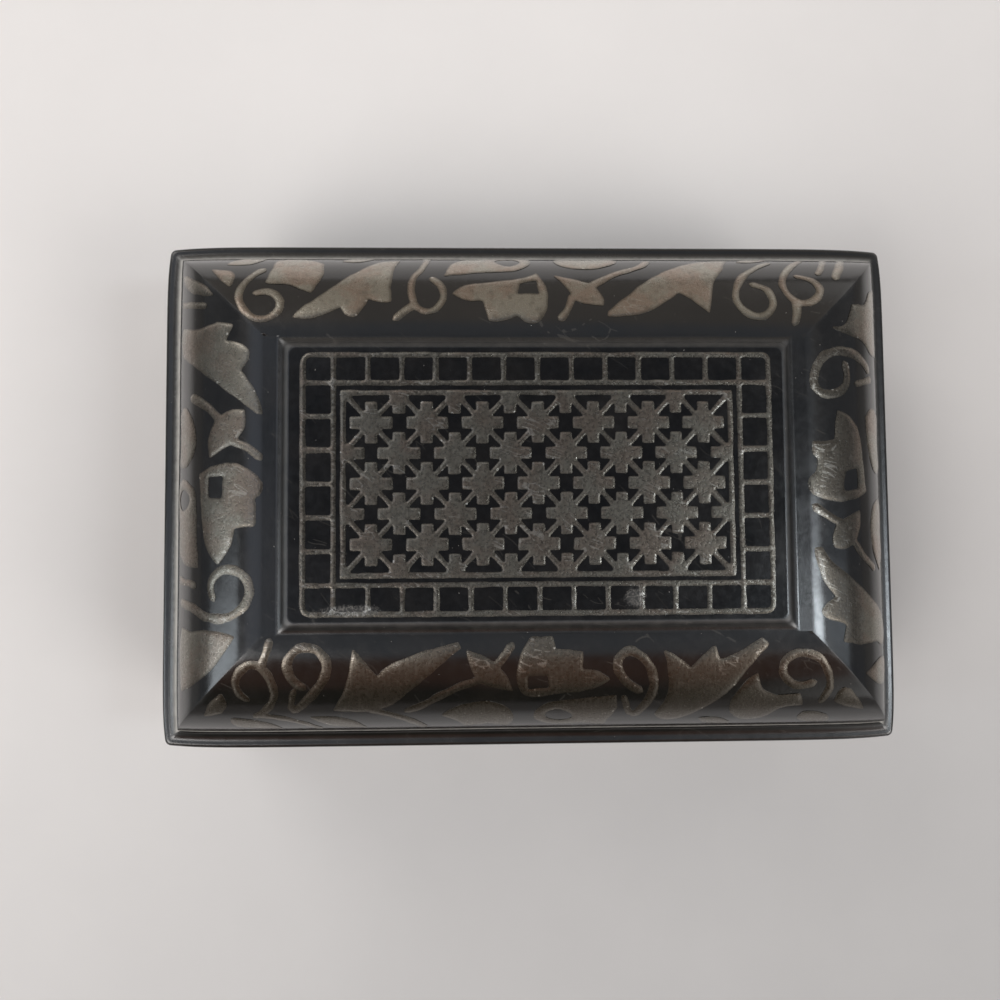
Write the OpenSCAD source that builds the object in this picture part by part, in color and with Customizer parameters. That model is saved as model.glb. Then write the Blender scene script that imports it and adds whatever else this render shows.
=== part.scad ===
// Rectangular trinket box of blackened zinc alloy with silver let into its faces.
// The lid lifts straight off a lip inside the body. Origin: middle of the underside, +Z up,
// the long side along X, the front facing -Y.

/* [Body] */
// Outer length of the body walls
body_w = 78.6; // [68:0.2:100]
// Outer depth of the body walls
body_d = 52.8; // [46:0.2:72]
// Height of the body walls
body_h = 19; // [14:0.5:30]
// Thickness of the body walls
wall_t = 2.4; // [2.2:0.1:3.2]
// Radius of the body's upright edges
wall_corner_r = 0.8; // [0.4:0.1:1.6]
// Thickness of the base plate
base_t = 2; // [1.4:0.1:3]
// How far the base plate stands out past the walls
plinth_out = 1; // [0.4:0.1:2]
// Thickness of the lip that locates the lid
lip_t = 1; // [0.8:0.1:1.5]
// How far the lip stands above the walls
lip_rise = 2.6; // [1.5:0.1:3.2]
// How far the lip reaches down inside the walls
lip_drop = 6; // [3:0.5:9]

/* [Lid] */
// How far the rim stands out past the slopes
rim_out = 1.9; // [1.6:0.1:3]
// Thickness of the rim
rim_t = 2.2; // [1.6:0.1:3]
// Radius of the rim's edges
rim_r = 0.4; // [0.2:0.1:0.7]
// Radius of the rim's corners, seen from above
rim_corner_r = 0.8; // [0.4:0.1:2]
// Radius of the hollow between the slopes and the rim
cove_r = 1.4; // [0.8:0.1:1.5]
// Radius of the quarter-round slopes
slope_r = 11.2; // [9:0.1:12]
// Level shelf between the panel's ends and the end slopes
end_shelf = 1.3; // [0.4:0.1:2.5]
// Thickness of the lid's shell at the slopes
lid_t = 2.2; // [1.8:0.1:2.6]
// Height of the panel above the slopes
step_h = 0.7; // [0.4:0.1:0.9]
// Radius of the panel's rolled edge
step_r = 1.1; // [1:0.1:1.3]
// Width of the channel round the panel
channel_w = 0.5; // [0.3:0.05:0.7]
// Depth of the channel round the panel
channel_t = 0.25; // [0.15:0.05:0.4]
// Clearance between the lid and the lip
lid_clear = 0.3; // [0.2:0.05:0.5]

/* [Silver] */
// Thickness of the silver
silver_t = 0.5; // [0.35:0.05:0.7]
// How far the silver stands above the black
silver_proud = 0.1; // [0.05:0.05:0.2]
// Depth of the bed under the silver
bed_t = 0.05; // [0.02:0.01:0.1]
// Black edge between the panel's ends and its outer wire
end_margin = 1.95; // [1.3:0.05:2.4]
// Black edge between the panel's sides and its outer wire
side_margin = 1.25; // [1.2:0.05:1.8]
// Width of the wires in the panel
wire_w = 0.55; // [0.4:0.05:0.7]
// Radius of the outer wire's corners
wire_r = 0.8; // [0.6:0.1:1.4]
// Length of the ladder cells at the panel's ends
ladder_end = 3.15; // [2.4:0.05:3.6]
// Depth of the ladder cells along the panel's sides
ladder_side = 2.95; // [2.2:0.05:3.2]
// Cells along the ladder between its corner cells
ladder_nx = 12; // [8:1:14]
// Cells up the ladder between its corner cells
ladder_ny = 6; // [4:1:8]
// Distance from the ladder's inner wire to the lattice frame
lattice_gap = 1; // [0.8:0.05:1.3]
// Full stars in a long row of the lattice
star_nx = 7; // [5:1:8]
// Spaces between the rows of stars
star_ny = 6; // [4:2:6]
// Reach of a star's arms from its middle
star_reach = 2.2; // [1.7:0.05:2.3]
// Width of a star's arms
star_arm = 1.3; // [1:0.05:1.4]
// Reach of a star's core from its middle
star_core = 1; // [0.8:0.05:1.2]
// Width of the diagonal wires between stars
cross_w = 0.55; // [0.35:0.05:0.65]
// Plain strip above and below the vine on the body walls
wall_margin = 1.2; // [0.8:0.1:2]

/* [Hidden] */

black = "#232427";
silver = "#8f8980";
over = 1;

// Levels from the underside up
rim_z = base_t + body_h;
slope_z = rim_z + rim_t;
foot_z = slope_z + slope_r;
panel_z = foot_z + step_h;
mouth_top = rim_z + lip_rise + lid_clear;

// Half sizes of the lid: rim, start of the slopes, foot of the panel, and the mouth over the lip
rim_x = body_w/2 + rim_out;
rim_y = body_d/2 + rim_out;
top_x = body_w/2 - slope_r;
top_y = body_d/2 - slope_r;
foot_x = top_x - end_shelf;
foot_y = top_y;
lip_x = body_w/2 - wall_t;
lip_y = body_d/2 - wall_t;
mouth_x = lip_x + lid_clear;
mouth_y = lip_y + lid_clear;
hollow_r = slope_r - lid_t;
sunk_t = silver_t - silver_proud;
// Angle above level at which the slopes run into the hollow at the rim
cove_tilt = asin(cove_r/(slope_r + cove_r));

// Centre lines of the panel's wires
outer_w = 2*(foot_x - channel_w/2 - end_margin) - wire_w;
outer_d = 2*(foot_y - channel_w/2 - side_margin) - wire_w;
inner_w = outer_w - 2*ladder_end;
inner_d = outer_d - 2*ladder_side;
lattice_w = inner_w - 2*lattice_gap;
lattice_d = inner_d - 2*lattice_gap;
star_px = lattice_w/star_nx;
star_py = lattice_d/star_ny;

// A side: turn about Z, half length where its slope starts, distance of that start from the
// middle, half length and distance of its wall, way its drawing runs, and its drawing
function long_side(turn, way, vine) = [turn, top_x, top_y, body_w/2, body_d/2, way, vine];
function end_side(turn, way, vine) = [turn, top_y, top_x, body_d/2, body_w/2, way, vine];

// The vine is drawn on a flat sheet, in millimetres: first along the side from its middle, then
// down it from the panel. A third value marks a sharp corner. A leaf has an outline and may have
// a hole. A tendril has a width and a path.
draw_r = 11.2;
draw_deep = 13.9;
draw_long = 28.1;
draw_end = 15.2;

front_leaves = [
  // Wing leaves
  [[[-19.3, 1.5, 1], [-17.9, 3.2], [-16.8, 4.7, 1], [-15.4, 3.4], [-12, 2], [-8.4, 1, 1],
    [-8, 1.7, 1], [-11.4, 4.6], [-15.2, 8.4, 1], [-17.6, 9.6], [-21.6, 9.4, 1], [-20.2, 6]]],
  [[[12.9, 2.1, 1], [14.3, 2.7], [15.9, 4.2, 1], [16.7, 2.9], [18.3, 1.6, 1], [18.9, 3.2, 1],
    [21, 2.3], [23.2, 0.9, 1], [24.1, 1.5, 1], [22.4, 3.5], [19.9, 7.3], [16.4, 11, 1],
    [14.2, 12.2], [12.6, 11], [13.4, 8.4], [13.6, 5.5]]],
  // Bud
  [[[-7.6, 1.9, 1], [-6, 2.5], [-4.8, 3.2, 1], [-3.5, 4.6], [-2.6, 6.9, 1], [-4.6, 6.3],
    [-6.3, 5.6, 1], [-7.1, 4.2]]],
  // Flower with a square hole
  [[[-1, 0.6, 1], [1.3, 0.5, 1], [1.7, 1.9, 1], [4.6, 2.1, 1], [4.5, 4.1, 1], [6.2, 4.5],
    [7.4, 5.4, 1], [5.4, 6.7], [2, 7.1], [-0.6, 7.7], [-1.9, 6.9], [-2.4, 4.6], [-1.9, 2.2]],
   [[-1.2, 4.9, 1], [0.9, 4.9, 1], [1, 6.3, 1], [-1.1, 6.5, 1]]],
  // Leaves beside the tendrils and in the corners
  [[[23, 4.6, 1], [23.7, 6.9], [25.2, 7.7], [27.8, 7.5, 1], [28.4, 9.4, 1], [26, 10],
    [24.4, 12], [22.2, 12.2], [20.4, 9.4], [21.4, 6.3]]],
  [[[31.6, 8.7, 1], [32.1, 6.8], [33.3, 7.1, 1], [34.4, 8.8], [35.4, 10.5, 1], [33.4, 9.9]]],
  [[[-32.9, 6.5, 1], [-32.6, 8.3], [-33.2, 9.8, 1], [-35.3, 10.3, 1], [-34.4, 8.3]]],
  // Lower row
  [[[-10.2, 10.5, 1], [-8.4, 8.8], [-6, 8.1], [-3.6, 8.8], [-2.5, 11], [-3.2, 13.7, 1],
    [-5.2, 12.6, 1], [-7.6, 13.6, 1], [-8.6, 11.8]]],
  [[[-0.3, 11.5], [0, 9.4], [1.8, 8.3], [5, 7.8], [8.2, 7.5, 1], [8.4, 9.6], [7.8, 11.5],
    [7.2, 13.7, 1], [4.8, 12.9], [1.8, 13.1]],
   [[0.7, 10.7], [1.7, 9.6], [3.2, 10.1], [3.7, 11.4], [2.2, 12]]],
  [[[-32.4, 10.7, 1], [-30.4, 11], [-28.4, 12.2], [-27.4, 13.8, 1], [-30.2, 13.6], [-32.2, 12.7]]],
  [[[-24.2, 10.6, 1], [-21.6, 10.6], [-19.4, 11.7], [-18.2, 13.7, 1], [-20.8, 13.3], [-22.6, 12.3]]],
  [[[17.4, 11.8, 1], [19.4, 11.7], [21, 12.9], [21.2, 13.8, 1], [18.8, 13.6]]],
  [[[28.6, 10.7, 1], [30.4, 10.8], [31.8, 12], [32, 13.7, 1], [29.8, 13.4], [28.4, 12.3]]]
];
front_tendrils = [
  // Curls
  [0.9, [[-30.3, 7.6], [-31.3, 6.3], [-31.1, 4.4], [-29.6, 3.2], [-28, 4.5], [-27.5, 6.7],
    [-28.3, 8.8], [-29.8, 10.3]]],
  [1, [[-24.6, 6], [-25.8, 4.6], [-26, 3], [-24.8, 1.6], [-23, 1.7], [-22, 3.2], [-22.4, 5.2],
    [-24, 7.5], [-25.6, 9.4]]],
  [1, [[10.6, 6.9], [9, 5.6], [8.1, 3.6], [9, 2.2], [10.8, 3], [12, 5.2], [11.9, 7.4],
    [11.2, 9.3], [10.4, 10.8]]],
  [0.9, [[28.9, 6.1], [27.2, 6.4], [25.8, 5.3], [25.6, 3.7], [27, 2.6], [29, 3], [30.3, 4.6],
    [30.8, 6.7], [30.2, 8.8]]],
  // Stems and stubs
  [0.8, [[-28.6, 3.3], [-28.1, 2], [-27.7, 0.8]]],
  [0.7, [[-25.5, 6.5], [-25.8, 7.9], [-26, 9]]],
  [0.9, [[-6.5, 5.3], [-9, 6.5], [-12, 8.5], [-13.8, 9.6]]],
  [1, [[-4.4, 3.6], [-3.7, 2.7], [-3, 1.5]]],
  [0.7, [[9, 7.8], [9.4, 9.2], [9.9, 10.6]]],
  [0.9, [[-29.6, 10.1], [-27, 10.8], [-24.8, 12.2], [-23.4, 13.7]]],
  [0.9, [[-17.6, 9.4], [-14.8, 10.7], [-12.9, 12.3], [-12.2, 13.7]]]
];

back_leaves = [
  // Wing leaves
  [[[-25.6, 2.3, 1], [-24.2, 2.1], [-22, 2.7], [-20.6, 3.5, 1], [-19.8, 2.4], [-18.8, 2.5],
    [-17.7, 4.7, 1], [-16.4, 4.1], [-15.2, 4.2, 1], [-15.3, 6.9], [-15, 10.1], [-14.6, 12.3, 1],
    [-16.4, 12], [-19, 9.1], [-21.6, 6.2], [-25.2, 3.1, 1]]],
  [[[7.5, 2.4, 1], [9, 2.4], [12, 3.1], [14, 4.3], [15.4, 5.5, 1], [17, 4.2], [18.5, 2.8, 1],
    [18.9, 4.6], [19.4, 7.1], [20.8, 9.8], [22, 13, 1], [19.6, 12.7], [16.8, 11.1], [14.6, 9.5],
    [12, 7.3], [9.8, 5], [7.6, 3.1, 1]]],
  // Flower with a square hole
  [[[-9, 5.3, 1], [-7.6, 4.5], [-5.6, 4.3, 1], [-5, 2, 1], [-3.6, 1.9], [-2, 2.5, 1],
    [-0.8, 1.6], [0.6, 2], [1.2, 3.8], [1.3, 6], [0.3, 8.8, 1], [-1.2, 7.9], [-4.6, 7.1], [-7.6, 6.5]],
   [[-1.9, 5.3, 1], [0.4, 5.3, 1], [0.2, 7.4, 1], [-1.7, 6.9, 1]]],
  // Bud
  [[[7.3, 3.7, 1], [7.2, 5], [6.2, 6.7, 1], [4.5, 7.5], [2, 8.4, 1], [2.7, 7.3], [3.9, 5.2],
    [4, 4.6, 1], [5.6, 4]]],
  // Leaves beside the tendrils and in the corners
  [[[-28.8, 6.8, 1], [-26.2, 6.5], [-23.8, 5.3, 1], [-22.7, 8.1], [-22.8, 11, 1], [-25, 12.9],
    [-27.8, 12.5], [-28.2, 9.6]]],
  [[[-32.4, 6.2, 1], [-31.9, 7.9], [-32.6, 9.2, 1], [-34.8, 9.6, 1], [-33.8, 7.8]]],
  // Lower row
  [[[-9.7, 8.2, 1], [-6, 8.8], [-2.4, 9.2], [-0.5, 10.7], [-0.2, 13], [-1, 13.8, 1], [-4.8, 13.7],
    [-7.4, 13.2, 1], [-8.9, 11]],
   [[-4.1, 12.5], [-3.4, 10.7], [-2.2, 10.5], [-1.4, 12.2], [-2.4, 13.3]]],
  [[[2.4, 11.8], [3.6, 10.2], [5.6, 9.7], [8, 10.5], [9.5, 12.2], [8.8, 13.8, 1], [5.6, 13.3],
    [3, 13.8, 1]]],
  [[[22.8, 12.2, 1], [24.6, 12], [26.2, 12.9], [26.6, 13.8, 1], [24.2, 13.7]]],
  [[[-33.4, 10.7, 1], [-31, 10.8], [-29.6, 12.3], [-29.4, 13.8, 1], [-32, 13.4]]],
  [[[-21, 12, 1], [-19, 11.8], [-17.6, 12.9], [-17.4, 13.8, 1], [-20, 13.6]]]
];
back_tendrils = [
  // Curls
  [0.85, [[-29.6, 5.4], [-28, 5.5], [-26.9, 4.2], [-27.3, 2.8], [-28.9, 2.1], [-30.4, 2.9],
    [-31.3, 4.8], [-31, 6.5], [-30.2, 8.1], [-29.2, 9.4]]],
  [0.8, [[-11, 7.6], [-10, 6.4], [-9.8, 4.6], [-11, 3.1], [-12.5, 3.5], [-13.2, 5.6],
    [-13, 7.7], [-12.2, 9.6], [-11.7, 11.5], [-11.6, 13.5]]],
  [0.85, [[23.6, 6.8], [25, 5.9], [25.4, 4], [24.4, 2.6], [22.8, 2.7], [21.5, 4.4],
    [21.8, 6.4], [23, 8.5], [25, 10.6], [26.4, 11.8]]],
  [0.85, [[28.6, 8.3], [30.2, 7.5], [30.8, 6], [29.9, 4.4], [28.4, 4.2], [27.1, 5.4],
    [26.9, 7.3], [27.8, 9.4], [29, 11.1], [30.2, 13]]],
  // Stems and stubs
  [0.9, [[-13, 3.7], [-14, 2.9], [-14.8, 2.2]]],
  [0.8, [[3.9, 5], [3.4, 3.4], [2.6, 2.2]]],
  [0.9, [[6.2, 6.6], [9, 8.7], [11.6, 10.3], [12.8, 12.3]]],
  [0.8, [[27.9, 4.4], [27.9, 3], [27.5, 1.7]]],
  [0.9, [[32.9, 7.9], [34.2, 11.1], [35, 13.5]]],
  [0.7, [[31.2, 8.8], [32.2, 11.1], [33, 13.3]]]
];

left_leaves = [
  // Wing leaf
  [[[7.3, 0.3, 1], [8.6, 0.6], [10.4, 1.5], [12, 2.7, 1], [13.9, 1.8], [14.7, 2.6],
    [15.3, 4.6, 1], [16.9, 3.6, 1], [17.3, 5.7], [17, 8.6], [17.6, 12], [16.8, 13.4, 1],
    [14.6, 12.3], [13.4, 10], [11.2, 6.2], [9, 3.2], [7.4, 1.1, 1]]],
  // Flower with a square hole
  [[[-8.2, 5.3, 1], [-6.6, 3.9], [-4.5, 3.3, 1], [-4.3, 1.1, 1], [-2.8, 1], [-1.4, 1.2, 1],
    [-0.8, 0.4], [0.2, 0.3, 1], [1.6, 1.7], [2.4, 3.7], [2.1, 6.2], [1.4, 8.2, 1], [0.2, 8],
    [-3, 7.7], [-6.4, 7]],
   [[-1.3, 4.9, 1], [0.9, 4.8, 1], [1, 6.7, 1], [-1.1, 6.6, 1]]],
  // Bud
  [[[7.9, 2.2, 1], [6, 2.3], [4.6, 3.2, 1], [3.6, 5.1], [3, 6.6, 1], [5, 6.8], [7, 5.7, 1],
    [7.9, 3.9]]],
  // Leaves in the corners
  [[[-15.6, 3.2, 1], [-15, 6.2], [-15.2, 9], [-14.8, 11.7, 1], [-17.5, 12.5], [-21.6, 11.8, 1],
    [-21, 9.6], [-19.6, 6.9], [-17.8, 4.8]]],
  [[[20.3, 6.2, 1], [21.8, 7.9], [23.4, 11.4], [23.8, 13.2, 1], [22, 11.5], [20.7, 8.7]]],
  // Lower row
  [[[-8.6, 8.1, 1], [-5, 8.5], [-1.6, 8.7], [0.3, 9.6], [1, 13.1], [-1, 13.7], [-4, 13.3],
    [-7, 13.2, 1], [-8.2, 10.8]],
   [[-2.3, 12], [-1.8, 10.3], [-0.8, 10.1], [-0.1, 11.8], [-1, 13]]],
  [[[2.2, 11.4], [3.2, 9.6], [5, 8.8], [7.4, 9.6], [8.9, 11.7], [8, 13.4, 1], [5, 13],
    [2.8, 13.4, 1]]]
];
left_tendrils = [
  [1, [[-11.7, 5.9], [-10.1, 6.2], [-8.8, 4.7], [-9.1, 2.6], [-10.8, 1.6], [-12.8, 2.5],
    [-13.8, 4.7], [-13.5, 7.1], [-12.6, 9.5], [-12.2, 12.1]]],
  [0.9, [[4.6, 3.6], [3.8, 1.9], [2.8, 0.6]]],
  [0.9, [[7, 5.3], [8.6, 7.2], [9.7, 9.6]]],
  [0.7, [[19.3, 7.5], [19.9, 10.3], [20.4, 12.7]]],
  [0.8, [[-10.4, 8.8], [-10, 10.7], [-9.8, 12.7]]]
];

right_leaves = [
  // Wing leaf
  [[[-6.9, 0.7, 1], [-8.2, 0.9], [-10.6, 1.9], [-12, 3.1, 1], [-13.4, 1.4], [-14.2, 1.9],
    [-15, 4.3, 1], [-16.7, 3.9, 1], [-17.2, 6.2], [-16.9, 9], [-17.4, 12], [-16.4, 13.4, 1],
    [-14.4, 12.4], [-13, 10], [-10.6, 6.1], [-8.8, 3.3], [-6.8, 1.7, 1]]],
  // Flower with a square hole
  [[[-0.8, 0.3, 1], [0.3, 0.3], [1, 1.1, 1], [2.4, 1.4], [3, 0.8], [4.3, 0.9, 1], [4.6, 3.5, 1],
    [6.3, 3.7], [7.8, 3.9, 1], [7.2, 5.7], [5.6, 7.2], [3, 7.7], [0.6, 8], [-0.8, 8.4, 1],
    [-1.6, 6.1], [-2, 3.3], [-1.5, 1.2]],
   [[-0.8, 4.6, 1], [1.3, 4.8, 1], [1.6, 6.6, 1], [-0.6, 6.6, 1]]],
  // Bud
  [[[-6.9, 3.1, 1], [-5.4, 3], [-4.2, 3.7, 1], [-3.4, 5.3], [-2.8, 7, 1], [-4.6, 6.9],
    [-6.2, 6.1, 1], [-7, 4.7]]],
  // Leaves in the corners
  [[[16.7, 3.3, 1], [17.3, 5.5], [19.6, 6.5, 1], [19.9, 9.1], [21.6, 10.8], [22.4, 13.2, 1],
    [18, 12.9], [14.6, 13.2, 1], [14.6, 10.4], [15.7, 8.2], [16, 5.7]]],
  [[[-20.2, 7, 1], [-19.4, 8.6], [-18.6, 11.3], [-19, 13.2, 1], [-21.4, 12.4], [-21.4, 9.5]]],
  // Lower row
  [[[1.4, 11], [3, 9.3], [7.4, 8.5, 1], [8.5, 10.5], [7.6, 13.1, 1], [5, 12.5], [2.2, 13.3, 1]]],
  [[[-9.4, 11.4, 1], [-7.2, 9.6], [-4.6, 9], [-2.2, 10], [-1.4, 12.2], [-2.6, 13.4, 1],
    [-5, 12.9], [-7.6, 13.4, 1]]]
];
right_tendrils = [
  [1, [[12.7, 5.2], [11.2, 5.5], [9.9, 4.6], [9.4, 2.6], [10.2, 1.3], [12, 1.4], [13.7, 2.8],
    [14.2, 5.2], [13.7, 7.7], [12.6, 9.6]]],
  [0.8, [[10.8, 6.9], [11.2, 8.5], [11.7, 10.1]]],
  [0.9, [[-4.2, 4], [-3.5, 2.5], [-2.6, 1]]],
  [0.9, [[-6.2, 5.8], [-7.8, 7.4], [-9, 9.6]]]
];

FRONT = long_side(0, 1, [front_leaves, front_tendrils, draw_long]);
BACK = long_side(180, -1, [back_leaves, back_tendrils, draw_long]);
LEFT = end_side(-90, -1, [left_leaves, left_tendrils, draw_end]);
RIGHT = end_side(90, 1, [right_leaves, right_tendrils, draw_end]);

// Curves through a few points: each stretch is a cubic that leaves a smooth point along the line
// between its neighbours, and bends only as far as it must next to a corner.
function unit(v) = v/norm(v);
function xy(p) = [p[0], p[1]];
function corner(p) = len(p) > 2;
function bend(a, ta, b, tb, u) =
  a*(1 + 2*u)*(1 - u)*(1 - u) + ta*u*(1 - u)*(1 - u) + b*u*u*(3 - 2*u) - tb*u*u*(1 - u);
function stretch(before, a, b, after, sharp_a, sharp_b, steps) =
  let (
    span = norm(b - a),
    level_a = span*unit(b - before),
    level_b = span*unit(after - a),
    ta = sharp_a ? (sharp_b ? b - a : (3*(b - a) - level_b)/2) : level_a,
    tb = sharp_b ? (sharp_a ? b - a : (3*(b - a) - level_a)/2) : level_b,
    count = sharp_a && sharp_b ? 1 : steps
  ) [for (k = [0:count - 1]) bend(a, ta, b, tb, k/count)];
leaf_steps = 3;
tendril_steps = 3;
function outline(q) =
  let (n = len(q)) [
    for (i = [0:n - 1])
      each stretch(xy(q[(i + n - 1)%n]), xy(q[i]), xy(q[(i + 1)%n]), xy(q[(i + 2)%n]),
        corner(q[i]), corner(q[(i + 1)%n]), leaf_steps)
  ];
function path(q) =
  let (n = len(q)) [
    for (i = [0:n - 2])
      each stretch(q[max(i - 1, 0)], q[i], q[i + 1], q[min(i + 2, n - 1)],
        i == 0, i == n - 2, tendril_steps),
    q[n - 1]
  ];
function across(v) = [-v[1], v[0]];
// Outline of a wire of the given width along a path, with blunt pointed ends
function wire(width, q) =
  let (
    c = path(q),
    n = len(c),
    way = [for (i = [0:n - 1]) unit(c[min(i + 1, n - 1)] - c[max(i - 1, 0)])],
    half = width/2
  ) concat(
    [c[0] - way[0]*half],
    [for (i = [0:n - 1]) c[i] + across(way[i])*half],
    [c[n - 1] + way[n - 1]*half],
    [for (i = [n - 1:-1:0]) c[i] - across(way[i])*half]
  );

// From the drawing to the chord plane of a slope, stretched to the slope's length and radius
function to_slope(side, p) =
  let (
    angle = p[1]/draw_r*180/PI,
    fit = (side[1] + slope_r*sin(angle))/(side[6][2] + draw_r*sin(angle))
  ) [side[5]*fit*p[0], slope_r*sin(45 - angle)];
// From the drawing to a wall, stretched to the wall's length and height
function to_wall(side, p) = [
  side[5]*p[0]*side[3]/(side[6][2] + draw_r),
  body_h - wall_margin - p[1]*(body_h - 2*wall_margin)/draw_deep
];
function laid(side, on_wall, points) =
  [for (p = points) on_wall ? to_wall(side, p) : to_slope(side, p)];

// Flat shapes
module ring_2d(w, d, width) {
  difference() {
    square([w + width, d + width], center = true);
    square([w - width, d - width], center = true);
  }
}
module rounded_2d(w, d, radius) {
  square([w, d - 2*radius], center = true);
  square([w - 2*radius, d], center = true);
  for (x = [-1, 1], y = [-1, 1])
    translate([x*(w/2 - radius), y*(d/2 - radius)]) circle(r = radius, $fn = 32);
}

module leaves_2d(side, on_wall) {
  for (leaf = side[6][0]) {
    difference() {
      polygon(laid(side, on_wall, outline(leaf[0])));
      if (len(leaf) > 1) polygon(laid(side, on_wall, outline(leaf[1])));
    }
  }
}
module wires_2d(side, on_wall) {
  for (tendril = side[6][1]) polygon(laid(side, on_wall, wire(tendril[0], tendril[1])));
}
module tendrils_2d(side, on_wall) {
  difference() {
    wires_2d(side, on_wall);
    leaves_2d(side, on_wall);
  }
}

// Frame of a slope: X along it, Z out of the middle of its arc, origin on the arc's axis
module at_slope(side) {
  rotate([0, 0, side[0]])
    translate([0, -side[2], slope_z])
      rotate([45, 0, 0])
        children();
}
module slope_rod(side, radius) {
  rotate([0, 90, 0])
    cylinder(h = 2*(side[3] + over), r = radius, center = true, $fn = 96);
}
// Prism through a slope, ended where the hollow at the rim starts
module slope_prism() {
  translate([0, 0, slope_r*cos(45) - over])
    linear_extrude(slope_r*(1 - cos(45)) + 2*over)
      intersection() {
        children();
        translate([-rim_x, -slope_r*sin(45 - cove_tilt)]) square([2*rim_x, 2*slope_r]);
      }
}
// Silver let into a slope, and the recess that takes it
module in_slope(side) {
  at_slope(side)
    intersection() {
      slope_prism() children();
      difference() {
        slope_rod(side, slope_r + silver_proud);
        slope_rod(side, slope_r - sunk_t);
      }
    }
}
module slope_recess(side) {
  at_slope(side)
    difference() {
      slope_prism() children();
      slope_rod(side, slope_r - sunk_t - bed_t);
    }
}
// Frame of a wall: X along it, Y up from its foot, Z out of its face
module at_wall(side) {
  rotate([0, 0, side[0]])
    translate([0, -side[4], base_t])
      rotate([90, 0, 0])
        children();
}
module in_wall(side) {
  at_wall(side) translate([0, 0, -sunk_t]) linear_extrude(silver_t) children();
}
module wall_recess(side) {
  depth = sunk_t + bed_t;
  at_wall(side) translate([0, 0, -depth]) linear_extrude(depth + over) children();
}
module in_panel() {
  translate([0, 0, panel_z - sunk_t]) linear_extrude(silver_t) children();
}

// Panel drawing
module outer_ring_2d() {
  difference() {
    rounded_2d(outer_w + wire_w, outer_d + wire_w, wire_r + wire_w/2);
    rounded_2d(outer_w - wire_w, outer_d - wire_w, wire_r - wire_w/2);
  }
}
module rungs_2d() {
  end = ladder_end - wire_w;
  side = ladder_side - wire_w;
  for (i = [0:ladder_nx], s = [-1, 1])
    translate([(i/ladder_nx - 0.5)*inner_w, s*(inner_d + ladder_side)/2])
      square([wire_w, side], center = true);
  for (j = [0:ladder_ny], s = [-1, 1])
    translate([s*(inner_w + ladder_end)/2, (j/ladder_ny - 0.5)*inner_d])
      square([end, wire_w], center = true);
}
function star_at(i, j) = [(i - star_nx/2)*star_px, (j - star_ny/2)*star_py];
// Rows with a star between the columns, and rows with one on the columns
stars = [
  for (j = [1:2:star_ny - 1], i = [0:star_nx - 1]) star_at(i + 0.5, j),
  for (j = [2:2:star_ny - 2], i = [1:star_nx - 1]) star_at(i, j)
];
// Half stars on the frame: place, and quarter turn of the one arm
half_stars = [
  for (j = [2:2:star_ny - 2]) each [[star_at(0, j), 0], [star_at(star_nx, j), 2]],
  for (i = [1:star_nx - 1]) each [[star_at(i, 0), 1], [star_at(i, star_ny), 3]]
];
crosses = [for (j = [1:2:star_ny - 1], i = [0:star_nx - 1]) star_at(i + 0.5, j)];
module star_2d(arms) {
  h = star_arm/2;
  polygon([
    for (k = [0:3], side = [-h, h])
      [star_core*cos(90*k) - side*sin(90*k), star_core*sin(90*k) + side*cos(90*k)]
  ]);
  for (k = arms) rotate(90*k) translate([0, -h]) square([star_reach, star_arm]);
}
module inside_lattice() {
  intersection() {
    children();
    square([lattice_w - wire_w, lattice_d - wire_w], center = true);
  }
}
module stars_2d() {
  inside_lattice() {
    for (at = stars) translate(at) star_2d([0:3]);
    for (half = half_stars) translate(half[0]) star_2d([half[1]]);
  }
}
module crosses_2d() {
  long = norm([star_px, star_py*2]);
  inside_lattice()
    for (at = crosses, s = [-1, 1])
      translate(at) rotate(s*atan2(2*star_py, star_px)) square([long, cross_w], center = true);
}
module panel_2d() {
  outer_ring_2d();
  ring_2d(inner_w, inner_d, wire_w);
  rungs_2d();
  ring_2d(lattice_w, lattice_d, wire_w);
  stars_2d();
  crosses_2d();
}

// Lid
module lid_profile(rim, top, foot) {
  roll = foot - channel_w/2 - sqrt(step_r*step_r - pow(step_r - step_h, 2));
  cove = top + sqrt(slope_r*slope_r + 2*slope_r*cove_r);
  translate([0, rim_z + rim_t/2]) rounded_2d(2*rim, rim_t, rim_r);
  for (s = [0, 1])
    mirror([s, 0])
      difference() {
        polygon([
          [top, slope_z - rim_r], [cove, slope_z - rim_r], [cove, slope_z + cove_r], [top, slope_z]
        ]);
        translate([cove, slope_z + cove_r]) circle(r = cove_r, $fn = 48);
      }
  intersection() {
    union() {
      translate([-top, slope_z - over]) square([2*top, slope_r + over]);
      for (s = [-1, 1]) translate([s*top, slope_z]) circle(r = slope_r, $fn = 96);
    }
    translate([-rim, slope_z]) square([2*rim, slope_r]);
  }
  translate([-roll, slope_z]) square([2*roll, panel_z - slope_z]);
  for (s = [-1, 1]) translate([s*roll, panel_z - step_r]) circle(r = step_r, $fn = 48);
}
module hollow_profile(mouth, top) {
  translate([-mouth, rim_z - over]) square([2*mouth, mouth_top - rim_z + over]);
  intersection() {
    union() {
      translate([-top, slope_z]) square([2*top, hollow_r]);
      for (s = [-1, 1]) translate([s*top, slope_z]) circle(r = hollow_r, $fn = 96);
    }
    translate([-mouth, mouth_top]) square([2*mouth, slope_r]);
  }
}
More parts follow.
